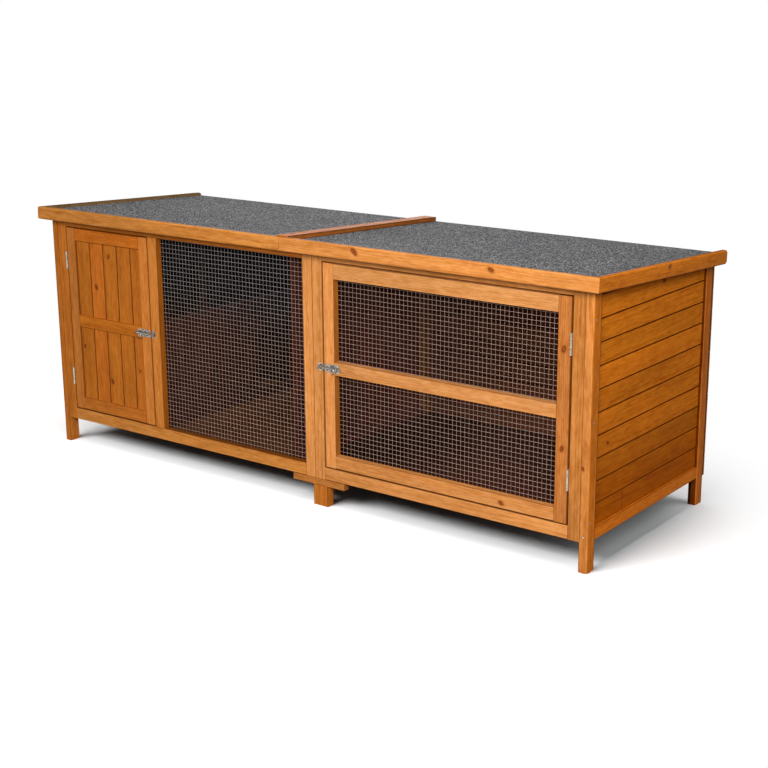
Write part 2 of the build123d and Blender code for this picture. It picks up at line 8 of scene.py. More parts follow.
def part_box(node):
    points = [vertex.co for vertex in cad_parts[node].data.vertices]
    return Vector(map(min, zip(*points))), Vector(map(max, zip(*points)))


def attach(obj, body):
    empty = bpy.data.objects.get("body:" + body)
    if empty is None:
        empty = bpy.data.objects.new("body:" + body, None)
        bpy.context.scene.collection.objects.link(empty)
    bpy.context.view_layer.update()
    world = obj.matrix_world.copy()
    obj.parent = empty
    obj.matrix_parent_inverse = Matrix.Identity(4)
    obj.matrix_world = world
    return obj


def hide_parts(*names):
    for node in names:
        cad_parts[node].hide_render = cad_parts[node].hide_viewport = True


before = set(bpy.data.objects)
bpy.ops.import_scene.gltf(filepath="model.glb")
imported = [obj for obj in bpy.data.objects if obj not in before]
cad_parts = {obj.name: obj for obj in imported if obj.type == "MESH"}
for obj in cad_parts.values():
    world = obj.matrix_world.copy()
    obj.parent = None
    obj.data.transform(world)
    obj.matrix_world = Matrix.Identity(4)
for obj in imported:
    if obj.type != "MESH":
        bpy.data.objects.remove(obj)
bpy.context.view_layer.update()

# Corner legs and the middle leg at the back: planed pine, brushed with a honey stain before assembly.
# The grain runs up each leg, the stain has rubbed thin on the corners, and the sawn feet are darker.
# The stained pine of the whole hutch is set out here, since the legs are the first pieces to wear it.


def paint(red, green, blue):
    """A colour from a paint chart, made linear for the shader."""
    shares = [value / 255 for value in (red, green, blue)]
    return [v / 12.92 if v <= 0.04045 else ((v + 0.055) / 1.055) ** 2.4 for v in shares] + [1.0]


def place(tree, kind, inputs=None, **settings):
    """Put a shader node in a tree, with its settings, its links and its plain values."""
    node = tree.nodes.new("ShaderNode" + kind)
    for setting, value in settings.items():
        setattr(node, setting, value)
    for socket, value in (inputs or {}).items():
        if isinstance(value, bpy.types.NodeSocket):
            tree.links.new(value, node.inputs[socket])
        else:
            node.inputs[socket].default_value = value
    return node


def maths(tree, operation, *values):
    """The result of a sum of one, two or three values."""
    return place(tree, "Math", dict(enumerate(values)), operation=operation).outputs[0]


def swing(tree, value, amount):
    """A value from 0 to 1 turned into a swing about nothing, half the amount to either side."""
    return maths(tree, "MULTIPLY_ADD", value, amount, -amount / 2)


def squared(tree, value, scale=1.0):
    """The square of a value that is scaled first."""
    return maths(tree, "POWER", maths(tree, "MULTIPLY", value, scale), 2.0)


def distance(tree, across, deep):
    """How far off a place is, from its two offsets."""
    offset = place(tree, "CombineXYZ", {0: across, 1: deep}).outputs[0]
    return place(tree, "VectorMath", {0: offset}, operation="LENGTH").outputs["Value"]


def ramp(tree, value, start, stop, low=0.0, high=1.0, shape="SMOOTHSTEP"):
    """A step from low to high while the value goes from start to stop, soft at both ends."""
    span = {"Value": value, "From Min": start, "From Max": stop, "To Min": low, "To Max": high}
    return place(tree, "MapRange", span, interpolation_type=shape).outputs["Result"]


def mixed(tree, share, under, over, way="MIX"):
    """Two colours mixed by a share."""
    return place(tree, "Mix", {0: share, 6: under, 7: over}, data_type="RGBA", blend_type=way).outputs[2]


def tinted(tree, colour, tint):
    """A colour seen through a tint."""
    return mixed(tree, 1.0, colour, (*tint, 1.0), "MULTIPLY")


def washed(tree, share, colour, tint):
    """A colour with a tint laid over a share of it."""
    return mixed(tree, share, colour, tinted(tree, colour, tint))


def bands(tree, value, stops):
    """A strip of colours along a value, each stop with its place, colour and cover."""
    node = place(tree, "ValToRGB", {0: value})
    strip = node.color_ramp.elements
    while len(strip) < len(stops):
        strip.new(0.5)
    for element, (at, colour, cover) in zip(strip, stops):
        element.position = at
        element.color = [*colour[:3], cover]
    return node.outputs


def cloud(tree, vector, scale, detail=2.0, rough=0.5):
    """Soft noise from 0 to 1."""
    inputs = {"Vector": vector, "Scale": scale, "Detail": detail, "Roughness": rough}
    return place(tree, "TexNoise", inputs).outputs[0]


def stretched(tree, vector, along, across, through):
    """A place with each direction scaled on its own."""
    scales = (along, across, through)
    return place(tree, "VectorMath", {0: vector, 1: scales}, operation="MULTIPLY").outputs[0]


def grain_cloud(tree, vector, counts, detail=2.0, rough=0.5):
    """Soft noise drawn out along the grain, by its counts to the metre along and across."""
    along, across = counts
    return cloud(tree, stretched(tree, vector, along, across, across), 1.0, detail, rough)


def new_group(name, inputs, outputs):
    """An empty shader group with named sockets, and its inputs and its end node."""
    tree = bpy.data.node_groups.new(name, "ShaderNodeTree")
    for socket, kind in inputs:
        tree.interface.new_socket(socket, in_out="INPUT", socket_type="NodeSocket" + kind)
    for socket, kind in outputs:
        tree.interface.new_socket(socket, in_out="OUTPUT", socket_type="NodeSocket" + kind)
    return tree, tree.nodes.new("NodeGroupInput").outputs, tree.nodes.new("NodeGroupOutput").inputs


# One knot: how far a place is from it, counted in knot sizes, and how far it pushes the grain aside
knot_squeeze = 0.72
slant_most, slant_draw = 1.1, 3331.0
push_along, push_across, push_strength = 0.3, 0.4, -0.85

knot_mark, given, made = new_group(
    "pine_knot",
    [("Place", "Vector"), ("Sway", "Float"), ("Nearest", "Float"), ("Spot", "Vector"), ("Size", "Float")],
    [("Sway", "Float"), ("Nearest", "Float")],
)
tree = knot_mark
from_spot = place(tree, "VectorMath", {0: given["Place"], 1: given["Spot"]}, operation="SUBTRACT").outputs[0]
away = place(tree, "SeparateXYZ", {0: from_spot}).outputs
along_knot = maths(tree, "DIVIDE", away[0], given["Size"])
across_knot = maths(tree, "DIVIDE", away[1], given["Size"])
slant_lot = maths(tree, "FRACT", maths(tree, "MULTIPLY", given["Size"], slant_draw))
slant = maths(tree, "MULTIPLY", along_knot, swing(tree, slant_lot, slant_most))
along_near = squared(tree, along_knot, knot_squeeze)
across_near = squared(tree, maths(tree, "ADD", across_knot, slant))
near = maths(tree, "SQRT", maths(tree, "ADD", along_near, across_near))
tree.links.new(maths(tree, "MINIMUM", given["Nearest"], near), made["Nearest"])
far = maths(tree, "ADD", squared(tree, along_knot, push_along), squared(tree, across_knot, push_across))
reach = maths(tree, "EXPONENT", maths(tree, "MULTIPLY", far, -1.0))
push = maths(tree, "MULTIPLY", maths(tree, "MULTIPLY", away[1], reach), push_strength)
tree.links.new(maths(tree, "ADD", given["Sway"], push), made["Sway"])

# Stained pine in boards: year rings cut by the saw, fibres, knots, the tone of each board, worn arrises,
# painted shade within.
# Counts are to the metre, along the grain and across it, and reaches are in metres from an edge.
board_shift = (9.0, 7.0, 5.0)
knot_cell, knot_scatter, knot_sizes = (0.30, 0.11), 0.7, (0.0025, 0.0075)
far_off = 9.0
ring_lean, pith_across_range, pith_depth_range, pith_least = 0.06, 0.10, 0.05, 0.010
wander_counts, wander_reach = (1.7, 13.0), 0.026
ring_tones = ((0.0, 0.0), (0.40, 0.06), (0.80, 0.80), (0.91, 1.0), (1.0, 0.0))
ring_change, ring_strength = 0.65, 0.50
streak_counts, streak_strength, streak_base = (2.2, 75.0), 0.8, -0.22
fibre_counts, fibre_strength = (18.0, 440.0), 0.9
mottle_counts, mottle_strength = (26.0, 90.0), 1.4
blotch_counts, blotch_strength = (3.4, 11.0), 0.55
board_tone_range, board_hue_range = 0.26, 0.005
fleck_counts, fleck_span = (45.0, 260.0), (0.32, 0.68)
deep_fleck, pale_fleck = (0.94, 0.91, 0.76), (1.06, 1.08, 1.22)
burl_counts, burl_strength, knot_share = (120.0, 210.0), 0.34, 0.3333
knot_tones = [
    (0.0, paint(84, 34, 9), 0.95),
    (0.13, paint(140, 66, 20), 0.85),
    (0.25, paint(132, 60, 17), 0.85),
    (0.32, paint(78, 31, 7), 0.95),
    (0.42, paint(158, 82, 28), 0.50),
    (0.80, paint(186, 106, 42), 0),
]
line_reach, vee_reach, vee_strength = (0.0030, 0.0014), (0.0026, 0.0010), 0.95
worn_reach, worn_ragged, worn_strength = (0.0060, 0.0035), 0.0030, 0.55
# The inside tint is painted shade, darkening the faces within the hutch almost to black.
worn_tint, end_tint, inside_shade_tint = (1.22, 1.24, 1.30), (0.66, 0.58, 0.50), (0.020, 0.022, 0.030)
gathered_stain = paint(74, 26, 3)
early_rough, late_rough, fibre_rough, end_rough = 0.42, -0.06, 0.22, 0.18
fibre_height, late_height = 0.7, 0.3

knot_values = ("Sway", "Nearest")
board_values = ("Board Width", "First Edge", "Depth", "Seed", "Ring Gap", "Figure", "Knotty")
stain_and_shade_values = ("Groove", "Line", "End", "Inside")
grain_values = [(value, "Float") for value in (*knot_values, *board_values, *stain_and_shade_values)]
pine_grain, given, made = new_group(
    "pine_grain",
    [("Place", "Vector"), *grain_values, ("Light", "Color"), ("Dark", "Color")],
    [("Color", "Color"), ("Roughness", "Float"), ("Height", "Float")],
)
tree = pine_grain
spot = place(tree, "SeparateXYZ", {0: given["Place"]}).outputs
from_edge = maths(tree, "SUBTRACT", spot[1], given["First Edge"])
board = maths(tree, "FLOOR", maths(tree, "DIVIDE", from_edge, given["Board Width"]))
board_middle = maths(tree, "MULTIPLY", maths(tree, "ADD", board, 0.5), given["Board Width"])
across = maths(tree, "SUBTRACT", from_edge, board_middle)
board_name = place(tree, "CombineXYZ", {0: board, 1: given["Seed"]}).outputs[0]
chance = place(tree, "TexWhiteNoise", {"Vector": board_name}, noise_dimensions="2D").outputs
lots = place(tree, "SeparateXYZ", {0: chance["Color"]}).outputs
shifted = stretched(tree, chance["Color"], *board_shift)
own_place = place(tree, "VectorMath", {0: given["Place"], 1: shifted}, operation="ADD").outputs[0]

cells = stretched(tree, own_place, 1 / knot_cell[0], 1 / knot_cell[1], 0.0)
scatter = place(
    tree, "TexVoronoi", {"Vector": cells, "Scale": 1.0, "Randomness": knot_scatter}, voronoi_dimensions="2D"
).outputs
from_knot = place(tree, "VectorMath", {0: cells, 1: scatter["Position"]}, operation="SUBTRACT").outputs[0]
from_knot = stretched(tree, from_knot, *knot_cell, 0.0)
knot_lots = place(tree, "SeparateXYZ", {0: scatter["Color"]}).outputs
knot_size = ramp(tree, knot_lots[0], 0.0, 1.0, *knot_sizes)
no_knot = maths(tree, "GREATER_THAN", knot_lots[1], given["Knotty"])
wild = place(
    tree,
    "Group",
    {"Place": from_knot, "Sway": 0.0, "Nearest": far_off, "Spot": (0.0, 0.0, 0.0), "Size": knot_size},
    node_tree=knot_mark,
).outputs
wild_near = maths(tree, "ADD", wild["Nearest"], maths(tree, "MULTIPLY", no_knot, far_off))
wild_sway = maths(tree, "MULTIPLY", wild["Sway"], maths(tree, "SUBTRACT", 1.0, no_knot))
nearest = maths(tree, "MINIMUM", given["Nearest"], wild_near)
sway = maths(tree, "ADD", given["Sway"], wild_sway)

lean = maths(tree, "MULTIPLY", spot[0], swing(tree, lots[1], ring_lean))
pith_across = maths(tree, "ADD", lean, swing(tree, lots[0], pith_across_range))
pith_deep = maths(tree, "MULTIPLY_ADD", lots[2], pith_depth_range, pith_least)
ring_across = maths(tree, "SUBTRACT", maths(tree, "ADD", across, sway), pith_across)
ring_reach = distance(tree, ring_across, maths(tree, "SUBTRACT", spot[2], pith_deep))
wander = grain_cloud(tree, own_place, wander_counts, detail=3.0)
ring_reach = maths(tree, "MULTIPLY_ADD", wander, wander_reach, ring_reach)
ring_count = maths(tree, "DIVIDE", ring_reach, given["Ring Gap"])
ring_year = maths(tree, "ADD", maths(tree, "FLOOR", ring_count), given["Seed"])
year = place(tree, "TexWhiteNoise", {"W": ring_year}, noise_dimensions="1D").outputs["Value"]
ring_stops = [(at, (tone, tone, tone), 1) for at, tone in ring_tones]
season = bands(tree, maths(tree, "FRACT", ring_count), ring_stops)["Color"]
year_strength = maths(tree, "MULTIPLY_ADD", year, ring_change, 1 - ring_change)
late_wood = maths(tree, "MULTIPLY", season, year_strength)
fibre = grain_cloud(tree, own_place, fibre_counts, detail=3.0, rough=0.62)
streak = grain_cloud(tree, own_place, streak_counts)
mottle = grain_cloud(tree, own_place, mottle_counts, detail=3.0, rough=0.6)
blotch = grain_cloud(tree, own_place, blotch_counts)
fleck = grain_cloud(tree, own_place, fleck_counts, rough=0.6)

tone_depth = maths(tree, "MULTIPLY", late_wood, maths(tree, "MULTIPLY", given["Figure"], ring_strength))
streak_depth = maths(tree, "MULTIPLY_ADD", streak, streak_strength, streak_base)
tone_depth = maths(tree, "ADD", tone_depth, streak_depth)
tone_depth = maths(tree, "ADD", tone_depth, swing(tree, fibre, fibre_strength))
tone_depth = maths(tree, "ADD", tone_depth, swing(tree, mottle, mottle_strength))
tone_depth = place(tree, "Clamp", {0: tone_depth}).outputs[0]
colour = mixed(tree, tone_depth, given["Light"], given["Dark"])
board_tone = maths(tree, "ADD", swing(tree, chance["Value"], board_tone_range), 1.0)
board_tone = maths(tree, "ADD", board_tone, swing(tree, blotch, blotch_strength))
board_hue = maths(tree, "ADD", swing(tree, lots[2], board_hue_range), 0.5)
colour = place(tree, "HueSaturation", {0: board_hue, 2: board_tone, 4: colour}).outputs[0]
pale_share = ramp(tree, fleck, *fleck_span)
colour = mixed(tree, pale_share, tinted(tree, colour, deep_fleck), tinted(tree, colour, pale_fleck))

burl = grain_cloud(tree, own_place, burl_counts, detail=3.0, rough=0.6)
ragged = maths(tree, "MULTIPLY_ADD", nearest, knot_share, swing(tree, burl, burl_strength))
knot_wood = bands(tree, ragged, knot_tones)
colour = mixed(tree, knot_wood["Alpha"], colour, knot_wood["Color"])

half_width = maths(tree, "MULTIPLY", given["Board Width"], 0.5)
half_depth = maths(tree, "MULTIPLY", given["Depth"], 0.5)
edge_across = maths(tree, "SUBTRACT", half_width, maths(tree, "ABSOLUTE", across))
edge_deep = maths(tree, "SUBTRACT", half_depth, maths(tree, "ABSOLUTE", spot[2]))
to_arris = distance(tree, edge_across, edge_deep)
on_line = maths(tree, "MULTIPLY", ramp(tree, to_arris, *line_reach), given["Line"])
to_worn = maths(tree, "MULTIPLY_ADD", streak, worn_ragged, to_arris)
no_groove = maths(tree, "SUBTRACT", 1.0, given["Groove"])
rubbed = maths(tree, "MULTIPLY", ramp(tree, to_worn, *worn_reach), no_groove)
colour = washed(tree, maths(tree, "MULTIPLY", rubbed, worn_strength), colour, worn_tint)
in_vee = maths(tree, "MULTIPLY", ramp(tree, edge_across, *vee_reach), given["Groove"])
stain_line = maths(tree, "MAXIMUM", maths(tree, "MULTIPLY", in_vee, vee_strength), on_line)
colour = mixed(tree, stain_line, colour, gathered_stain)
colour = washed(tree, given["End"], colour, end_tint)
# Painted shade on the faces within the hutch.
colour = washed(tree, given["Inside"], colour, inside_shade_tint)
tree.links.new(colour, made["Color"])
rough = maths(tree, "MULTIPLY_ADD", late_wood, late_rough, early_rough)
rough = maths(tree, "MULTIPLY_ADD", fibre, fibre_rough, rough)
rough = maths(tree, "MULTIPLY_ADD", given["End"], end_rough, rough)
tree.links.new(rough, made["Roughness"])
relief = maths(tree, "MULTIPLY_ADD", fibre, fibre_height, maths(tree, "MULTIPLY", late_wood, late_height))
tree.links.new(relief, made["Height"])


def facing(tree, normal, way):
    """How squarely the surface faces a way, from -1 to 1."""
    return place(tree, "VectorMath", {0: normal, 1: way}, operation="DOT_PRODUCT").outputs["Value"]


# A joint: a dark upright line up to the top of the joint, of gathered stain in a butt joint, and of gathered
# stain and painted shade in the corner by a leg
seam_stain_and_shade, seam_strength, seam_spread = paint(46, 16, 3), 0.8, 2.4

dark_seam, given, made = new_group(
    "dark_seam",
    [("Color", "Color"), ("Place", "Vector"), ("Seam", "Float"), ("Half", "Float"), ("Top", "Float")],
    [("Color", "Color")],
)
tree = dark_seam
spot = place(tree, "SeparateXYZ", {0: given["Place"]}).outputs
beside = maths(tree, "ABSOLUTE", maths(tree, "SUBTRACT", spot[1], given["Seam"]))
spread = maths(tree, "MULTIPLY", given["Half"], seam_spread)
below = maths(tree, "LESS_THAN", spot[2], given["Top"])
in_seam = maths(tree, "MULTIPLY", ramp(tree, beside, spread, given["Half"]), below)
colour = mixed(tree, maths(tree, "MULTIPLY", in_seam, seam_strength), given["Color"], seam_stain_and_shade)
tree.links.new(colour, made["Color"])

# A coat: a tint over the faces that look one way, as far as its fade lets it, most often painted shade
coat_facing = (0.7, 0.9)

face_tint_and_shade, given, made = new_group(
    "face_tint_and_shade",
    [("Color", "Color"), ("Tint", "Color"), ("Normal", "Vector"), ("Way", "Vector"), ("Fade", "Float")],
    [("Color", "Color")],
)
tree = face_tint_and_shade
share = ramp(tree, facing(tree, given["Normal"], given["Way"]), *coat_facing)
share = maths(tree, "MULTIPLY", share, given["Fade"])
coated = mixed(tree, 1.0, given["Color"], given["Tint"], "MULTIPLY")
tree.links.new(mixed(tree, share, given["Color"], coated), made["Color"])


def new_finish(name):
    """A new material, with its node tree and its shader."""
    material = bpy.data.materials.new(name)
    material.use_nodes = True
    return material, material.node_tree, material.node_tree.nodes["Principled BSDF"]


def dress(name, material):
    """Put a material on a solid of the frame, in place of the plain one."""
    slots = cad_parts[name].data.materials
    slots.clear()
    slots.append(material)


def raise_relief(tree, shader, height, strength, depth):
    """Let a height stand out from the surface."""
    bump = place(tree, "Bump", {"Strength": strength, "Distance": depth, "Height": height})
    tree.links.new(bump.outputs[0], shader.inputs["Normal"])


def faded(tree, local, axis, start, stop, most=1.0):
    """A share that comes in along an axis, between two places in millimetres."""
    return ramp(tree, local["xyz".index(axis)], start / 1000, stop / 1000, 0.0, most)


directions = {"x": Vector((1, 0, 0)), "y": Vector((0, 1, 0)), "z": Vector((0, 0, 1))}
left, right, front, rear, up = (-1, 0, 0), (1, 0, 0), (0, -1, 0), (0, 1, 0), (0, 0, 1)
stick_spare, end_facing = 2.0, (0.6, 0.85)
grain_strength, grain_depth = 0.55, 0.0003


def pine(
    name, grain, over, tones, seed, tilt=0.0, section=None, boards=None, ring_gap=4.8, figure=1.0,
    knots=(), knotty=0.0, groove=0.0, line=0.75, sheen=0.03, inside_shade=None, seams=(), coats=(),
):
    """Give a piece its own stained pine, with the grain one way and the board's width another.

    Sizes and places are in millimetres. A section is the width and depth of a stick that lies aslant,
    boards are where the first one starts and what each covers, and a knot is a place and a size. The shade
    within is an axis, start, end and depth of painted shade. A seam is a dark upright line of gathered stain,
    and in corners painted shade, with its half width and top. A coat tints the faces that look one way,
    mostly with painted shade, faded in along an axis if one is given.
    """
    low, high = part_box(name)
    middle = (low + high) / 2
    grain_way, over_way = directions[grain], directions[over]
    turn = Matrix((grain_way, over_way, grain_way.cross(over_way)))
    turn = turn @ Matrix.Rotation(math.radians(tilt), 3, "X")
    centre = turn @ middle
    size = turn @ (high - low) * 1000
    wide, deep = section or (abs(size.y), abs(size.z))
    if boards:
        first, cover = boards
        first_edge = first / 1000 - centre.y
    else:
        cover = wide + stick_spare
        first_edge = -cover / 2000

    material, tree, shader = new_finish(name + "_pine")
    surface = place(tree, "TexCoord").outputs
    where, normal = surface["Object"], surface["Normal"]
    to_board = {"Vector": where, "Location": -centre, "Rotation": turn.to_euler()}
    centred = place(tree, "Mapping", to_board).outputs[0]
    sway, nearest = 0.0, far_off
    for x, y, z, knot_size in knots:
        knot_spot = turn @ (Vector((x, y, z)) / 1000 - middle)
        knot_spot.z = 0.0
        so_far = {"Place": centred, "Sway": sway, "Nearest": nearest}
        this_knot = {"Spot": knot_spot, "Size": knot_size / 1000}
        knot = place(tree, "Group", so_far | this_knot, node_tree=knot_mark).outputs
        sway, nearest = knot["Sway"], knot["Nearest"]
    local = place(tree, "SeparateXYZ", {0: where}).outputs
    sawn_end = ramp(tree, maths(tree, "ABSOLUTE", facing(tree, normal, grain_way)), *end_facing)
    inside_shade_share = faded(tree, local, *inside_shade) if inside_shade else 0.0
    knot_marks = {"Place": centred, "Sway": sway, "Nearest": nearest, "Knotty": knotty}
    board_cut = {"Board Width": cover / 1000, "First Edge": first_edge, "Depth": deep / 1000}
    rings = {"Seed": seed, "Ring Gap": ring_gap / 1000, "Figure": figure}
    lines = {"Groove": groove, "Line": 0.0 if boards else line, "End": sawn_end, "Inside": inside_shade_share}
    stain = {"Light": tones[0], "Dark": tones[1]}
    settings = knot_marks | board_cut | rings | lines | stain
    wood = place(tree, "Group", settings, node_tree=pine_grain).outputs
    colour = wood["Color"]
    for seam, half, top in seams:
        joint = {"Color": colour, "Place": where, "Seam": seam / 1000, "Half": half / 1000, "Top": top / 1000}
        colour = place(tree, "Group", joint, node_tree=dark_seam).outputs["Color"]
    for way, tint, *limits in coats:
        fade = faded(tree, local, *limits[0]) if limits else 1.0
        coat = {"Color": colour, "Tint": (*tint, 1.0), "Normal": normal, "Way": way, "Fade": fade}
        colour = place(tree, "Group", coat, node_tree=face_tint_and_shade).outputs["Color"]
    tree.links.new(colour, shader.inputs["Base Color"])
    tree.links.new(wood["Roughness"], shader.inputs["Roughness"])
    shader.inputs["Specular IOR Level"].default_value = sheen
    raise_relief(tree, shader, wood["Height"], grain_strength, grain_depth)
    dress(name, material)


leg_tones = paint(208, 133, 67), paint(164, 89, 31)
# The pieces at the left end take darker, more saturated tones: partly the wood, partly painted shade where
# less light reaches that end.
left_end_shaded_tones = paint(214, 126, 50), paint(172, 88, 24)
back_leg_tones = paint(196, 110, 34), paint(152, 76, 14)
leg_side_shade_tint, back_leg_shade_tint, middle_leg_shade_tint = (1.03, 0.80, 0.31), (0.20, 0.14, 0.10), (0.9, 1.1, 3.6)
leg_knot = [(872.7, -302.5, 253.6, 3.2)]
# Painted shade on the back legs: darker within the hutch and above its floor, darker on the faces that look
# to the front, and greyed on the middle leg.
board_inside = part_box("right_side_boards")[0].x * 1000
leg_shade_start = board_inside + 2.0
leg_shade_left, leg_shade_right = ("x", -leg_shade_start, -board_inside, 0.95), ("x", leg_shade_start, board_inside, 0.85)
shade_over_floor = ("z", 96.0, 100.0, 0.74)
in_shade, middle_leg_shade = [(front, back_leg_shade_tint)], [(front, middle_leg_shade_tint)]
# The faces of the front legs that look to the ends take a deeper, more saturated tint: painted shade.
pine("leg_front_left", "z", "x", left_end_shaded_tones, 1.0, knotty=0.1, line=0.4, coats=[(left, leg_side_shade_tint)])
pine("leg_front_right", "z", "x", leg_tones, 2.0, knots=leg_knot, coats=[(right, leg_side_shade_tint)])
pine("leg_back_left", "z", "y", back_leg_tones, 3.0, knotty=0.22, inside_shade=leg_shade_left, coats=in_shade)
pine("leg_back_right", "z", "y", back_leg_tones, 4.0, knotty=0.22, inside_shade=leg_shade_right, coats=in_shade)
pine("leg_back_middle", "z", "x", back_leg_tones, 5.0, knotty=0.22, inside_shade=shade_over_floor, coats=middle_leg_shade)

# Foot and cross block under the seam of the two front frames: offcuts of the same pine.
# The block lies along the rails and is screwed up into both of them, and the foot stands under it.

foot_tones = paint(201, 119, 45), paint(160, 82, 20)
pine("cross_block", "x", "z", leg_tones, 6.0)
pine("foot_front", "z", "x", foot_tones, 7.0)

# Front frames: stiles and rails of 20 mm pine with stub tenons, eased along every edge.
# The pieces come from different boards, so their tones differ a little from one to the next, and those at the
# left end are darker, partly as painted shade.

frame_tones = paint(228, 153, 86), paint(190, 112, 46)
mid_tones = paint(222, 140, 64), paint(184, 102, 34)
pale_tones = paint(214, 139, 68), paint(172, 98, 35)
# The faces of stiles and rails that look to either side, into gaps and openings, are darkened: painted shade.
gap_shade_tint, ledge_tint = (0.50, 0.42, 0.22), (0.32, 0.25, 0.16)
edges = [(right, gap_shade_tint), (left, gap_shade_tint)]
ledge = [(up, ledge_tint)]
pine("frame_left_stile", "z", "x", left_end_shaded_tones, 8.0, line=0.4, coats=edges)
pine("frame_mid_stile", "z", "x", mid_tones, 9.0, coats=edges)
pine("frame_seam_stile_left", "z", "x", frame_tones, 10.0, knotty=0.1, coats=edges)
pine("frame_seam_stile_right", "z", "x", frame_tones, 11.0, coats=edges)
pine("frame_right_stile", "z", "x", leg_tones, 12.0, coats=edges)
pine("frame_left_bottom_rail", "x", "z", pale_tones, 13.0, knotty=0.15, coats=ledge)
pine("frame_left_top_rail", "x", "z", left_end_shaded_tones, 14.0)
pine("frame_right_bottom_rail", "x", "z", frame_tones, 15.0, knotty=0.05, coats=ledge)
pine("frame_right_top_rail", "x", "z", frame_tones, 16.0)

# Bedroom door: grooved stiles and rails that hold matched planks, all stained after it was put together.
# The planks and rails take darker, more saturated tones, partly the wood and partly painted shade towards the
# left end, and the stain gathered dark in the vees between the planks.

board_cover = 54.75
half_joint = 0.2
bedroom_door_shaded_tones = paint(204, 116, 38), paint(162, 80, 16)
shaded_plank_tones = paint(214, 124, 44), paint(172, 88, 22)
plank_knots = [
    (-666.9, -297.0, 577.7, 4.0),
    (-722.7, -297.0, 484.5, 5.0),
    (-785.7, -297.0, 301.7, 4.0),
    (-676.8, -297.0, 212.0, 5.0),
]
pine("left_door_hinge_stile", "z", "x", mid_tones, 17.0, knotty=0.1, coats=edges)
pine("left_door_latch_stile", "z", "x", mid_tones, 18.0, knotty=0.1, coats=edges)
pine("left_door_top_rail", "x", "z", bedroom_door_shaded_tones, 19.0, knotty=0.1, coats=edges)
pine("left_door_mid_rail", "x", "z", bedroom_door_shaded_tones, 20.0, knotty=0.1, coats=edges)
pine("left_door_bottom_rail", "x", "z", left_end_shaded_tones, 21.0, knotty=0.1, coats=edges)
first_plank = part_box("left_door_hinge_stile")[1].x * 1000 - half_joint
pine(
    "left_door_planks", "z", "x", shaded_plank_tones, 23.0,
    boards=(first_plank, board_cover),
    knots=plank_knots,
    knotty=0.05,
    groove=1.0,
)

# Wire door: two stiles and three rails of planed pine, mortised together and eased along the edges.
# It hangs on butt hinges at its right and takes the net on its back. A few sound knots show.

rail_tones = paint(211, 146, 86), paint(176, 107, 46)
hinge_stile_knots = [(813.9, -301.0, 525.1, 5.2), (815.4, -301.0, 290.4, 4.6)]
bottom_rail_knot = [(653.3, -301.0, 124.4, 4.4)]
pine("right_door_latch_stile", "z", "x", frame_tones, 24.0, coats=edges)
pine("right_door_hinge_stile", "z", "x", leg_tones, 25.0, knots=hinge_stile_knots, coats=edges)
pine("right_door_bottom_rail", "x", "z", frame_tones, 26.0, knots=bottom_rail_knot)
pine("right_door_mid_rail", "x", "z", rail_tones, 27.0)
pine("right_door_top_rail", "x", "z", rail_tones, 28.0)

# Side walls: a rail at the bottom and matched boards above it, housed in grooves of the legs.
# Their deeper, saturated tone is partly a heavier coat of stain and partly painted shade on the ends, and
# stain gathers in the vees. They darken towards the bottom, and inside and by the back leg they carry painted
# shade.

# The end walls take deep, saturated tones: partly a heavier coat of stain, partly painted shade on the ends.
side_shaded_tones = paint(225, 128, 30), paint(180, 88, 13)
# The end walls are darker towards the bottom.
low_board_tint, low_board_fade = (0.60, 0.47, 0.20), ("z", 330.0, 150.0)
# Painted shade on the inner face of the end wall by the bedroom: darker and bluer.
bedroom_shade_tint = (0.40, 0.72, 1.2)
board_sheen = 0.012
shade_start, shade_full = 4.5, 7.5
inner_shade = {"left": 1.0, "right": 0.84}
# By the back leg the dark seam is wide: gathered stain and painted shade in the corner.
leg_corner_shade, board_butt = (270.0, 2.0, 900.0), (-127.7, 0.5, 158.7)
side_knot = [(883.5, 45.9, 634.3, 5.0)]
first_side_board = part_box("right_side_boards")[0].z * 1000 - half_joint
side_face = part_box("right_side_boards")[1].x * 1000
for side, hand, outward, seed, knots, seams, coats in (
    ("left", -1, left, 30.0, [], [leg_corner_shade], [(right, bedroom_shade_tint)]),
    ("right", 1, right, 32.0, side_knot, [leg_corner_shade, board_butt], []),
):
    pine(side + "_side_rail", "y", "z", side_shaded_tones, seed, knotty=0.1)
    pine(
        side + "_side_boards", "y", "z", side_shaded_tones, seed + 1,
        boards=(first_side_board, board_cover),
        knots=knots,
        knotty=0.12,
        groove=1.0,
        sheen=board_sheen,
        inside_shade=("x", hand * (side_face - shade_start), hand * (side_face - shade_full), inner_shade[side]),
        seams=seams,
        coats=[(outward, low_board_tint, low_board_fade), *coats],
    )

# Back wall: two lengths of matched pine boards that meet on the middle leg, nailed to the back legs.
# The faces towards the bedroom and the runs carry painted shade, greyed, deeper on the bedroom side and
# towards the middle.

back_tones = paint(206, 124, 52), paint(164, 88, 28)
# Painted shade on the faces that look to the front: greyed, and deepened towards the middle.
back_shade_grey_tint = (1.55, 1.50, 3.4)
back_shade_tint = {"left": (0.22, 0.26, 0.44), "right": (0.36, 0.38, 0.52)}
back_shade_fade = ("x", 640.0, 40.0)
first_back_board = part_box("back_boards_left")[0].z * 1000 - half_joint
back_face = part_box("back_boards_left")[1].y * 1000
for side, seed in (("left", 34.0), ("right", 35.0)):
    pine(
        "back_boards_" + side, "x", "z", back_tones, seed,
        boards=(first_back_board, board_cover),
        knotty=0.35,
        groove=1.0,
        inside_shade=("y", back_face - shade_start, back_face - shade_full, inner_shade[side]),
        coats=[(front, back_shade_grey_tint), (front, back_shade_tint[side], back_shade_fade)],
    )

# Floor: two sheets of plywood on four sawn pine bearers that lie along the front and the back.
# The veneer is rotary cut, so its figure runs wide. Its dark tones are partly painted shade, and the sheet
# of the right run is darker, with painted shadow deepening towards the partition.

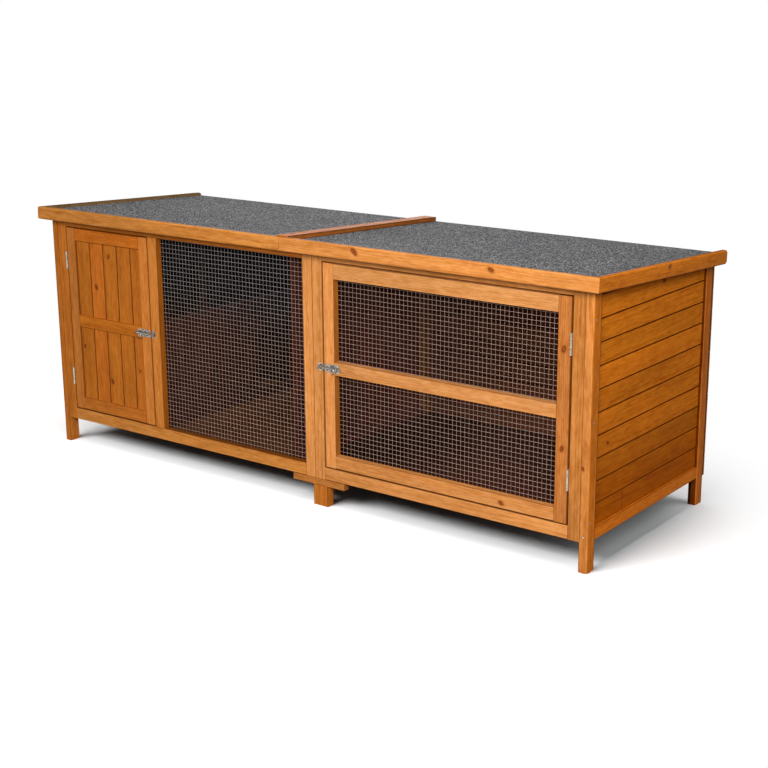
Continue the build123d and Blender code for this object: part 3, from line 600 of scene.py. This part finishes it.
floor_tones = paint(96, 56, 29), paint(60, 33, 17)
right_floor_tones = paint(76, 38, 28), paint(50, 24, 18)
veneer_rings, veneer_figure = 21.0, 1.3
# Painted shadow on the right sheet, deepening towards the partition.
right_floor_shadow = ("x", 520.0, 120.0, 0.8)
veneer = {"ring_gap": veneer_rings, "figure": veneer_figure}
pine("floor_left", "x", "y", floor_tones, 36.0, **veneer)
pine("floor_right", "x", "y", right_floor_tones, 37.0, inside_shade=right_floor_shadow, **veneer)
pine("floor_bearers", "x", "y", floor_tones, 38.0)

# Inner walls: plain pine boards on two battens each, a low one with a pop hole beside the bedroom
# and a full one between the runs. They are dark, partly stain and partly painted shade within the hutch,
# their front edges carry painted shade, and on the low one painted shade deepens towards the back.

divider_tones = paint(52, 23, 16), paint(34, 14, 10)
partition_tones = paint(75, 33, 25), paint(49, 20, 15)
# Painted shade: the front edges of both walls are darkened, and the low wall greys and darkens towards the
# back.
wall_edge_shade_tint, divider_shade_tint = (0.40, 0.40, 0.42), (0.55, 0.70, 0.92)
divider_shade = [(right, divider_shade_tint, ("y", -130.0, 80.0))]
first_divider_board = -262.7
first_partition_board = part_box("partition_boards")[0].y * 1000 - half_joint
for wall, seed, first, tones, coats in (
    ("divider", 39.0, first_divider_board, divider_tones, divider_shade),
    ("partition", 41.0, first_partition_board, partition_tones, []),
):
    pine(
        wall + "_boards", "z", "y", tones, seed,
        boards=(first, board_cover),
        groove=0.8,
        coats=[(front, wall_edge_shade_tint), *coats],
    )
    pine(wall + "_battens", "y", "z", tones, seed + 1)

# Roof: plywood decks under the felt, fascias of rounded pine along the front and the ends.
# A batten covers the joint of the two halves. All of it lies on the fall of the roof.

roof_fall = 3.16
fascia_section, batten_section = (36.0, 12.0), (40.0, 12.0)
fascia_tones = paint(214, 140, 74), paint(174, 99, 38)
# The fascia of the near end takes the same deep tone, partly painted shade on the end.
side_fascia_shaded_tones = paint(222, 129, 34), paint(178, 93, 15)
# The fascia of the far end is darker all over, and greyer on its top and inner faces: painted shade.
shaded_fascia_tones = paint(150, 88, 38), paint(112, 62, 24)
batten_tones = paint(188, 114, 54), paint(148, 80, 32)
# The tops of the fascias are darkened: painted shade against the light from above.
fascia_top_shade_tint, fascia_shade_grey_tint = (0.66, 0.66, 0.62), (0.64, 1.1, 2.2)
# The batten is darkened on top, against the light and reflection it catches, and further on its side: painted
# shade.
batten_top_shade_tint, batten_side_shade_tint = (0.80, 0.70, 0.66), (0.60, 0.54, 0.44)
front_knots = [(240.8, -331.0, 691.3, 6.0), (635.8, -331.0, 690.5, 5.0)]
side_fascia_knot = [(915.0, 8.5, 675.6, 4.0)]
fascia_top_shade, fascia_shade = [(up, fascia_top_shade_tint)], [(right, fascia_shade_grey_tint), (up, fascia_shade_grey_tint)]
for side, seed in (("left", 43.0), ("right", 44.0)):
    pine("roof_deck_" + side, "y", "x", floor_tones, seed, tilt=roof_fall, ring_gap=veneer_rings)
for name, grain, tones, seed, knots, knotty, coats in (
    ("front_fascia_left", "x", pale_tones, 45.0, [], 0.1, fascia_top_shade),
    ("front_fascia_right", "x", fascia_tones, 46.0, front_knots, 0.0, fascia_top_shade),
    ("side_fascia_left", "y", shaded_fascia_tones, 47.0, [], 0.22, fascia_shade),
    ("side_fascia_right", "y", side_fascia_shaded_tones, 48.0, side_fascia_knot, 0.0, fascia_top_shade),
):
    pine(
        name, grain, "z", tones, seed,
        tilt=roof_fall,
        section=fascia_section,
        knots=knots,
        knotty=knotty,
        coats=coats,
    )
pine(
    "roof_cover_batten", "y", "x", batten_tones, 49.0,
    tilt=roof_fall,
    section=batten_section,
    knotty=0.22,
    sheen=board_sheen,
    coats=[(up, batten_top_shade_tint), (right, batten_side_shade_tint)],
)

# Roof felt: bitumen sheet faced with slate grit, laid on the decks and turned down over the back edge.
# Single chips of the grit show pale or dark, and the roll has left faint lighter clouds.

chip_count, chip_strength, chip_height = 520.0, 0.7, 0.5
clump_count, clump_strength, clump_base, clump_height = 420.0, 0.8, -0.25, 0.6
lump_count, lump_strength = 270.0, 0.45
roll_count, roll_strength = 7.0, 0.10
grit_strength, grit_depth = 0.8, 0.0006
grit_tones = [
    (0.14, paint(24, 25, 30), 1),
    (0.45, paint(63, 64, 69), 1),
    (0.62, paint(96, 96, 98), 1),
    (0.90, paint(178, 177, 175), 1),
]
felt, tree, shader = new_finish("slate_felt")
where = place(tree, "TexCoord").outputs["Object"]
chips = place(tree, "TexVoronoi", {"Vector": where, "Scale": chip_count}).outputs
chip_lot = place(tree, "SeparateXYZ", {0: chips["Color"]}).outputs[0]
lumps = place(tree, "TexVoronoi", {"Vector": where, "Scale": lump_count}).outputs
lump_lot = place(tree, "SeparateXYZ", {0: lumps["Color"]}).outputs[1]
clumps = cloud(tree, where, clump_count, detail=3.0, rough=0.65)
roll_marks = cloud(tree, where, roll_count, detail=3.0)
grey = maths(tree, "MULTIPLY_ADD", clumps, clump_strength, clump_base)
grey = maths(tree, "MULTIPLY_ADD", chip_lot, chip_strength, grey)
grey = maths(tree, "ADD", grey, swing(tree, lump_lot, lump_strength))
grey = maths(tree, "ADD", grey, swing(tree, roll_marks, roll_strength))
tree.links.new(bands(tree, grey, grit_tones)["Color"], shader.inputs["Base Color"])
shader.inputs["Roughness"].default_value = 0.93
shader.inputs["Specular IOR Level"].default_value = 0.12
chip_rise = maths(tree, "MULTIPLY", chip_lot, chip_height)
grit_height = maths(tree, "MULTIPLY_ADD", clumps, clump_height, chip_rise)
raise_relief(tree, shader, grit_height, grit_strength, grit_depth)
dress("roof_felt_left", felt)
dress("roof_felt_right", felt)

# Wire nets: welded mesh of galvanised wire on the back of the fixed frame and of the wire door.
# Each crossing is welded, upright wires in front, and the cut ends lie on the wood under staples.
# The zinc has a warm bloom and is cooler high up in the fixed net, and the top of each wire carries a painted
# highlight.

wire_pitch, wire_radius = 0.0121, 0.00038
wire_sides, wire_bends = 6, 8
upright_layer, level_layer = 1.0, 2.9
drift_most, drift_count, drift_seed = 0.0006, 17.0, 7
noise.seed_set(drift_seed)
bloom_count, bloom_span, bloom_rough = 130.0, (0.3, 0.7), (0.38, 0.62)
dull_bloom, pale_bloom, painted_top_highlight = paint(146, 118, 104), paint(190, 156, 138), paint(255, 228, 212)
highlight_facing = (0.15, 0.45)
cool_tint, cool_heights, cool_side = (0.82, 1.12, 1.42), ("z", 380.0, 540.0), ("x", 20.0, -20.0)

galvanised, tree, shader = new_finish("galvanised_wire")
surface = place(tree, "TexCoord").outputs
local = place(tree, "SeparateXYZ", {0: surface["Object"]}).outputs
dull = cloud(tree, surface["Object"], bloom_count, detail=3.0)
bloom_and_highlight = mixed(tree, ramp(tree, dull, *bloom_span, shape="LINEAR"), dull_bloom, pale_bloom)
# Painted highlight: each wire is brighter on top, where the light from above falls.
top_highlight_share = ramp(tree, facing(tree, surface["Normal"], up), *highlight_facing)
bloom_and_highlight = mixed(tree, top_highlight_share, bloom_and_highlight, painted_top_highlight)
cool = maths(tree, "MULTIPLY", faded(tree, local, *cool_heights), faded(tree, local, *cool_side))
bloom_and_highlight = washed(tree, cool, bloom_and_highlight, cool_tint)
tree.links.new(bloom_and_highlight, shader.inputs["Base Color"])
tree.links.new(ramp(tree, dull, *bloom_span, *bloom_rough), shader.inputs["Roughness"])
shader.inputs["Metallic"].default_value = 0.3


def put(name, mesh, material, body):
    """Make a finished piece from its mesh, and let it ride on its body."""
    data = bpy.data.meshes.new(name)
    bmesh.ops.recalc_face_normals(mesh, faces=mesh.faces)
    mesh.to_mesh(data)
    mesh.free()
    data.materials.append(material)
    piece = bpy.data.objects.new(name, data)
    bpy.context.scene.collection.objects.link(piece)
    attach(piece, body)
    return piece


def disc(mesh, spot, way, radius, sides):
    """A round face at a place in metres, turned to look one way."""
    turn = Vector(way).to_track_quat("Z", "Y").to_matrix().to_4x4()
    at = Matrix.Translation(spot) @ turn
    rim = bmesh.ops.create_circle(mesh, cap_ends=True, segments=sides, radius=radius, matrix=at)["verts"]
    return rim[0].link_faces[0]


def raised(mesh, face, step, scale=1.0):
    """Draw a face out by a step, scaled about its own middle, and give the new face."""
    drawn = bmesh.ops.extrude_face_region(mesh, geom=[face])["geom"]
    top = next(item for item in drawn if isinstance(item, bmesh.types.BMFace))
    bmesh.ops.translate(mesh, verts=top.verts, vec=step)
    if scale != 1.0:
        middle = top.calc_center_median()
        bmesh.ops.scale(mesh, verts=top.verts, vec=(scale,) * 3, space=Matrix.Translation(-middle))
    return top


def wire_net(node, body):
    """Welded wire in the place of a plain sheet."""
    low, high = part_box(node)
    mesh = bmesh.new()
    for run_way, step_way, layer in (
        (directions["z"], directions["x"], upright_layer),
        (directions["x"], directions["z"], level_layer),
    ):
        run = run_way * (high - low).dot(run_way)
        span = (high - low).dot(step_way) - 2 * wire_radius
        count = int(span / wire_pitch) + 1
        spare = (span - (count - 1) * wire_pitch) / 2 + wire_radius
        start = low + step_way * spare
        start.y = low.y + layer * wire_radius
        for n in range(count):
            end = disc(mesh, start + step_way * (n * wire_pitch), run, wire_radius, wire_sides)
            for _ in range(wire_bends):
                end = raised(mesh, end, run / wire_bends)
    for vert in mesh.verts:
        drift = noise.noise_vector(vert.co * drift_count)
        vert.co.x += drift_most * drift.x
        vert.co.z += drift_most * drift.z
    piece = put(node + "_wires", mesh, galvanised, body)
    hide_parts(node)


wire_net("run_mesh", "hutch")
wire_net("right_door_mesh", "right_door")

# Butt hinges and barrel bolts: pressed steel, zinc plated, with a mottle that is partly dull zinc and partly
# painted reflection, and fine scratches.
# Leaves, plates and keeps are screwed on, and each bolt slides in the straps of its plate.
# The hinges are smoother and creamier than the bolts, whose mottle of dull zinc and painted reflection runs
# darker.

patch_count, patch_span = 240.0, (0.36, 0.62)
scratch_counts = (3000.0, 400.0, 300.0)
smooth_rough, scratch_rough = 0.18, 0.3
scratch_strength, scratch_depth = 0.25, 0.0001

zinc_glint_and_wear, given, made = new_group(
    "zinc_glint_and_wear",
    [("Place", "Vector"), ("Dull", "Color"), ("Bright", "Color")],
    [("Color", "Color"), ("Roughness", "Float"), ("Height", "Float")],
)
tree = zinc_glint_and_wear
# A mottle of dark and bright zinc: partly dull plating, partly painted reflection.
glint_patches = cloud(tree, given["Place"], patch_count, detail=3.0)
glint_share = ramp(tree, glint_patches, *patch_span, shape="LINEAR")
tree.links.new(mixed(tree, glint_share, given["Dull"], given["Bright"]), made["Color"])
scratches = cloud(tree, stretched(tree, given["Place"], *scratch_counts), 1.0)
tree.links.new(maths(tree, "MULTIPLY_ADD", scratches, scratch_rough, smooth_rough), made["Roughness"])
tree.links.new(scratches, made["Height"])


def zinc_plating(name, dull_zinc, bright_zinc):
    """Zinc on steel, with its own tones for the dark and the bright mottle, partly dull zinc and partly
    painted reflection.
    """
    material, tree, shader = new_finish(name)
    where = place(tree, "TexCoord").outputs["Object"]
    tones = {"Place": where, "Dull": dull_zinc, "Bright": bright_zinc}
    wear = place(tree, "Group", tones, node_tree=zinc_glint_and_wear).outputs
    tree.links.new(wear["Color"], shader.inputs["Base Color"])
    tree.links.new(wear["Roughness"], shader.inputs["Roughness"])
    shader.inputs["Metallic"].default_value = 0.6
    raise_relief(tree, shader, wear["Height"], scratch_strength, scratch_depth)
    return material


zinc = zinc_plating("bright_zinc", paint(70, 66, 60), paint(190, 185, 177))
hinge_zinc = zinc_plating("hinge_zinc", paint(150, 138, 118), paint(196, 184, 164))
for name in ("hinge_frame_leaves", "hinge_pins", "left_hinge_door_leaves", "right_hinge_door_leaves"):
    dress(name, hinge_zinc)
for name in ("left_bolt_plate", "left_bolt_rod", "right_bolt_plate", "right_bolt_rod", "bolt_keeps"):
    dress(name, zinc)

# Screws: countersunk and zinc plated, with a cross recess, through the legs and plates and into the rails.
# The hinge leaves take two each, the bolt plates four and the keeps two. Places are in millimetres.

leg_screw, hinge_screw, bolt_screw = 0.0025, 0.0021, 0.0017
head_sides, cross_arms = 12, 4
head_sunk, head_rise, crown_rise, recess_depth = 0.0001, 0.0003, 0.0001, 0.0007
head_taper, recess_share, cross_waist, recess_taper = 0.86, 0.66, 0.36, 0.8


def screws(name, body, radius, spots):
    """Screw heads at places in millimetres, each with the way it faces."""
    mesh = bmesh.new()
    for spot, way in spots:
        out = Vector(way)
        head = disc(mesh, Vector(spot) / 1000 - out * head_sunk, out, radius, head_sides)
        crown = raised(mesh, head, out * head_rise, head_taper)
        recess = raised(mesh, crown, out * crown_rise, recess_share)
        middle = recess.calc_center_median()
        arm_step = head_sides // cross_arms
        for vert in list(recess.verts)[arm_step - 1 :: arm_step]:
            vert.co = middle.lerp(vert.co, cross_waist)
        raised(mesh, recess, out * -recess_depth, recess_taper)
    put(name, mesh, zinc, body)


leg_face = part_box("leg_front_right")[0].y * 1000
leg_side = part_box("leg_front_right")[1].x * 1000
frame_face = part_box("frame_left_bottom_rail")[0].y * 1000
side_screw_line, side_screw_heights = -291.5, (122.0, 361.0, 601.0)
right_leg_spot, left_leg_spot = (878.5, leg_face, 88.0), (-880.6, leg_face, 91.0)
rail_spot = (-17.5, frame_face, 80.0)
leg_spots = [(right_leg_spot, front), (left_leg_spot, front), (rail_spot, front)]
for hand, outward in ((-1, left), (1, right)):
    leg_spots += [((hand * leg_side, side_screw_line, z), outward) for z in side_screw_heights]
screws("leg_screws", "hutch", leg_screw, leg_spots)

hinge_half, hinge_screw_step, hinge_screw_line, leaf_gap = 26.0, 17.0, -292.0, 0.8
door_edge, stile_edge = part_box("right_door_hinge_stile")[1].x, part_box("frame_right_stile")[0].x
hinge_middle = (door_edge + stile_edge) / 2 * 1000
for side, hand, to_door, to_frame in (("left", -1, left, right), ("right", 1, right, left)):
    low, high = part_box(side + "_hinge_door_leaves")
    hinge_heights = (low.z * 1000 + hinge_half, high.z * 1000 - hinge_half)
    heights = [z + step for z in hinge_heights for step in (-hinge_screw_step, hinge_screw_step)]
    frame_leaf = [((hand * (hinge_middle + leaf_gap), hinge_screw_line, z), to_frame) for z in heights]
    door_leaf = [((hand * (hinge_middle - leaf_gap), hinge_screw_line, z), to_door) for z in heights]
    screws(side + "_frame_hinge_screws", "hutch", hinge_screw, frame_leaf)
    screws(side + "_door_hinge_screws", side + "_door", hinge_screw, door_leaf)

plate_thick, plate_screw_inset, plate_screw_rise = 1.2, 7.0, 7.6
plate_face = frame_face - plate_thick
keeps_low, keeps_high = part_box("bolt_keeps")
bolt_height = (keeps_low.z + keeps_high.z) / 2 * 1000
bolt_rows = (bolt_height - plate_screw_rise, bolt_height + plate_screw_rise)
keep_places = {
    "left": keeps_low.x * 1000 + plate_screw_inset,
    "right": keeps_high.x * 1000 - plate_screw_inset,
}
for side, keep in keep_places.items():
    low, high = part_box(side + "_bolt_plate")
    columns = (low.x * 1000 + plate_screw_inset, high.x * 1000 - plate_screw_inset)
    plate_spots = [((x, plate_face, z), front) for x in columns for z in bolt_rows]
    screws(side + "_bolt_screws", side + "_door", bolt_screw, plate_spots)
    screws(side + "_keep_screws", "hutch", bolt_screw, [((keep, plate_face, z), front) for z in bolt_rows])

# Nails: round wire nails with flat heads, zinc plated, two through each back board into every leg.
# They are driven by hand, so the heads are not quite in line.

nail_radius, nail_sides = 0.0018, 8
nail_rise, nail_crown, nail_taper = 0.00025, 0.0001, 0.7
nail_drift, drift_layer = 2.0, 3.0
whole_boards, nail_steps, top_nail = 10, (14.0, 41.0), 635.0
leg_low, leg_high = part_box("leg_back_right")
leg_line = (leg_low.x + leg_high.x) / 2 * 1000
middle_leg_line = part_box("leg_back_middle")[1].x / 2 * 1000
first_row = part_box("back_boards_left")[0].z * 1000
nail_rows = [first_row + board_cover * n + step for n in range(whole_boards) for step in nail_steps]
out = Vector(rear)
nail_mesh = bmesh.new()
for x in (-leg_line, -middle_leg_line, middle_leg_line, leg_line):
    for z in [*nail_rows, top_nail]:
        drift = nail_drift * noise.noise_vector(Vector((x, z, drift_layer)))
        seat = Vector((x + drift.x, back_face, z + drift.z)) / 1000
        head = disc(nail_mesh, seat, out, nail_radius, nail_sides)
        crown = raised(nail_mesh, head, out * nail_rise)
        raised(nail_mesh, crown, out * nail_crown, nail_taper)
put("back_nails", nail_mesh, zinc, "hutch")

# Staples: flat galvanised wire bent square, driven from behind over the cut ends of the nets.
# They sit about a hand's width apart, none quite straight. The partition leaves no room for a few.

staple_crown, staple_leg, staple_wide, staple_thick = 0.0100, 0.0040, 0.0011, 0.0006
staple_bend, staple_inset, staple_spacing = 0.0004, 0.0042, 0.088
staple_lean, lean_count, lean_layer = 0.12, 40.0, 1.0
partition_gap = (-0.045, 0.030)
square_on, touching = 0.9, 1e-6


def staples(name, node, body, gap=None):
    """Staples round the edge of a net, left out over a gap between two places along it."""
    low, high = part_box(node)
    net_back = low.y + (level_layer + 1) * wire_radius
    leg_inside = staple_crown / 2 - staple_thick
    mesh = bmesh.new()
    bmesh.ops.create_cube(mesh, size=1.0)
    bmesh.ops.scale(mesh, verts=mesh.verts, vec=(staple_crown, staple_thick, staple_wide))
    for cut in (-leg_inside, leg_inside):
        geometry = [*mesh.verts, *mesh.edges, *mesh.faces]
        bmesh.ops.bisect_plane(mesh, geom=geometry, plane_co=(cut, 0, 0), plane_no=right)
    feet = [
        face
        for face in mesh.faces
        if face.normal.dot(Vector(front)) > square_on and abs(face.calc_center_median().x) > leg_inside
    ]
    for foot in feet:
        raised(mesh, foot, Vector(front) * staple_leg)
    shoulders = [
        edge
        for edge in mesh.edges
        if all(abs(abs(v.co.x) - staple_crown / 2) < touching and v.co.y > 0 for v in edge.verts)
    ]
    bmesh.ops.bevel(
        mesh, geom=shoulders, offset=staple_bend, affect="EDGES", segments=2, profile=0.5, material=-1
    )
    pattern = [*mesh.verts, *mesh.edges, *mesh.faces]
    pattern_verts = list(mesh.verts)
    spots = []
    for z in (low.z + staple_inset, high.z - staple_inset):
        count = int((high.x - low.x) / staple_spacing)
        spots += [(low.x + (n + 0.5) * (high.x - low.x) / count, z, 0.0) for n in range(count)]
    for x in (low.x + staple_inset, high.x - staple_inset):
        count = int((high.z - low.z) / staple_spacing)
        spots += [(x, low.z + (n + 0.5) * (high.z - low.z) / count, math.pi / 2) for n in range(count)]
    for x, z, turned in spots:
        if gap and gap[0] < x < gap[1]:
            continue
        lean = staple_lean * noise.noise(Vector((x, z, lean_layer)) * lean_count)
        copy = bmesh.ops.duplicate(mesh, geom=pattern)["geom"]
        verts = [item for item in copy if isinstance(item, bmesh.types.BMVert)]
        turn = Matrix.Rotation(turned + lean, 4, "Y")
        at = Matrix.Translation((x, net_back + staple_thick / 2, z)) @ turn
        bmesh.ops.transform(mesh, matrix=at, verts=verts)
    bmesh.ops.delete(mesh, geom=pattern_verts, context="VERTS")
    put(name, mesh, galvanised, body)


staples("run_staples", "run_mesh", "hutch", gap=partition_gap)
staples("door_staples", "right_door_mesh", "right_door")

# Stage: a white studio floor that runs out into white, under a white world that gives a little light.
# Three soft lights, over, before and behind, light the hutch alone, and three more light the floor alone,
# so that its shadow stays soft and close. The camera stands to the front and right, a little above.

floor_size = 24.0
seen_floor, dark_floor = (0.85, 0.85, 0.85, 1.0), (0.06, 0.06, 0.06, 1.0)
white_middle, white_reach = (-0.1, -0.5, 0.0), (1.1, 1.6)
world_light, world_seen = 0.11, 1.0


def seen_straight(tree, *rays):
    """1 for the kinds of ray that show the surface itself, and 0 for light that bounces off it."""
    seen = place(tree, "LightPath").outputs
    share = seen[rays[0]]
    for ray in rays[1:]:
        share = maths(tree, "MAXIMUM", share, seen[ray])
    return share


floor_mesh = bmesh.new()
bmesh.ops.create_grid(floor_mesh, x_segments=2, y_segments=2, size=floor_size)
floor_data = bpy.data.meshes.new("studio_floor")
floor_mesh.to_mesh(floor_data)
floor_mesh.free()
studio_floor = bpy.data.objects.new("studio_floor", floor_data)
bpy.context.scene.collection.objects.link(studio_floor)
white_floor, tree, shader = new_finish("white_floor")
tree.nodes.remove(shader)
straight = seen_straight(tree, "Is Camera Ray", "Is Glossy Ray", "Is Transmission Ray")
near_floor = place(tree, "BsdfDiffuse", {"Color": mixed(tree, straight, dark_floor, seen_floor)}).outputs[0]
far_floor = place(tree, "Emission", {"Strength": straight}).outputs[0]
where = place(tree, "TexCoord").outputs["Object"]
from_middle = place(tree, "VectorMath", {0: where, 1: white_middle}, operation="DISTANCE").outputs["Value"]
white_share = ramp(tree, from_middle, *white_reach)
floor_shader = place(tree, "MixShader", {0: white_share, 1: near_floor, 2: far_floor}).outputs[0]
tree.links.new(floor_shader, tree.nodes["Material Output"].inputs["Surface"])
floor_data.materials.append(white_floor)

world = bpy.data.worlds.new("studio")
world.use_nodes = True
bpy.context.scene.world = world
tree = world.node_tree
background = tree.nodes["Background"].inputs
straight = seen_straight(tree, "Is Camera Ray", "Is Transmission Ray")
tree.links.new(ramp(tree, straight, 0.0, 1.0, world_light, world_seen), background["Strength"])
background["Color"].default_value = (1.0, 1.0, 1.0, 1.0)


def softbox(name, stand, aim, width, height, power, floor_state, colour=(1.0, 1.0, 1.0)):
    """A broad studio light that points at a place, and lights the floor alone or all but the floor."""
    data = bpy.data.lights.new(name, "AREA")
    data.shape = "RECTANGLE"
    data.size = width
    data.size_y = height
    data.energy = power
    data.color = colour
    light = bpy.data.objects.new(name, data)
    light.location = stand
    light.rotation_euler = (Vector(aim) - Vector(stand)).to_track_quat("-Z", "Y").to_euler()
    light.visible_camera = False
    bpy.context.scene.collection.objects.link(light)
    receivers = bpy.data.collections.new(name + "_receivers")
    receivers.objects.link(studio_floor)
    receivers.collection_objects[0].light_linking.link_state = floor_state
    light.light_linking.receiver_collection = receivers


cool_white = (0.95, 0.99, 1.0)
softbox("overhead_softbox", (-0.2, 0.1, 3.2), (0.0, 0.0, 0.0), 2.6, 2.2, 44.0, "EXCLUDE")
softbox("front_softbox", (2.45, -3.4, 2.2), (0.1, 0.0, 0.35), 2.4, 2.0, 236.0, "EXCLUDE")
softbox("floor_softbox", (0.3, -0.9, 3.2), (0.3, -0.9, 0.0), 1.9, 5.0, 150.0, "INCLUDE")
softbox("low_softbox", (-1.5, -5.6, 4.6), (0.0, -0.3, 0.0), 5.0, 2.4, 610.0, "INCLUDE")
softbox("side_softbox", (3.4, 1.1, 2.0), (0.9, 0.1, 0.0), 3.0, 3.4, 58.0, "INCLUDE", cool_white)
softbox("back_softbox", (-2.6, 3.6, 0.9), (0.0, 0.0, 0.35), 2.6, 1.4, 95.0, "EXCLUDE")

camera_place = (2.4401, -3.1238, 1.3364)
camera_right = Vector((0.79898, 0.60132, -0.00681))
camera_up = Vector((-0.15429, 0.21592, 0.96414))
camera_data = bpy.data.cameras.new("camera")
camera_data.sensor_width = 36.0
camera_data.lens = 69.54
camera_data.clip_end = 200.0
camera = bpy.data.objects.new("camera", camera_data)
camera_turn = Matrix((camera_right, camera_up, camera_right.cross(camera_up))).transposed()
camera.matrix_world = Matrix.Translation(camera_place) @ camera_turn.to_4x4()
bpy.context.scene.collection.objects.link(camera)
bpy.context.scene.camera = camera
bpy.context.scene.view_settings.view_transform = "Standard"
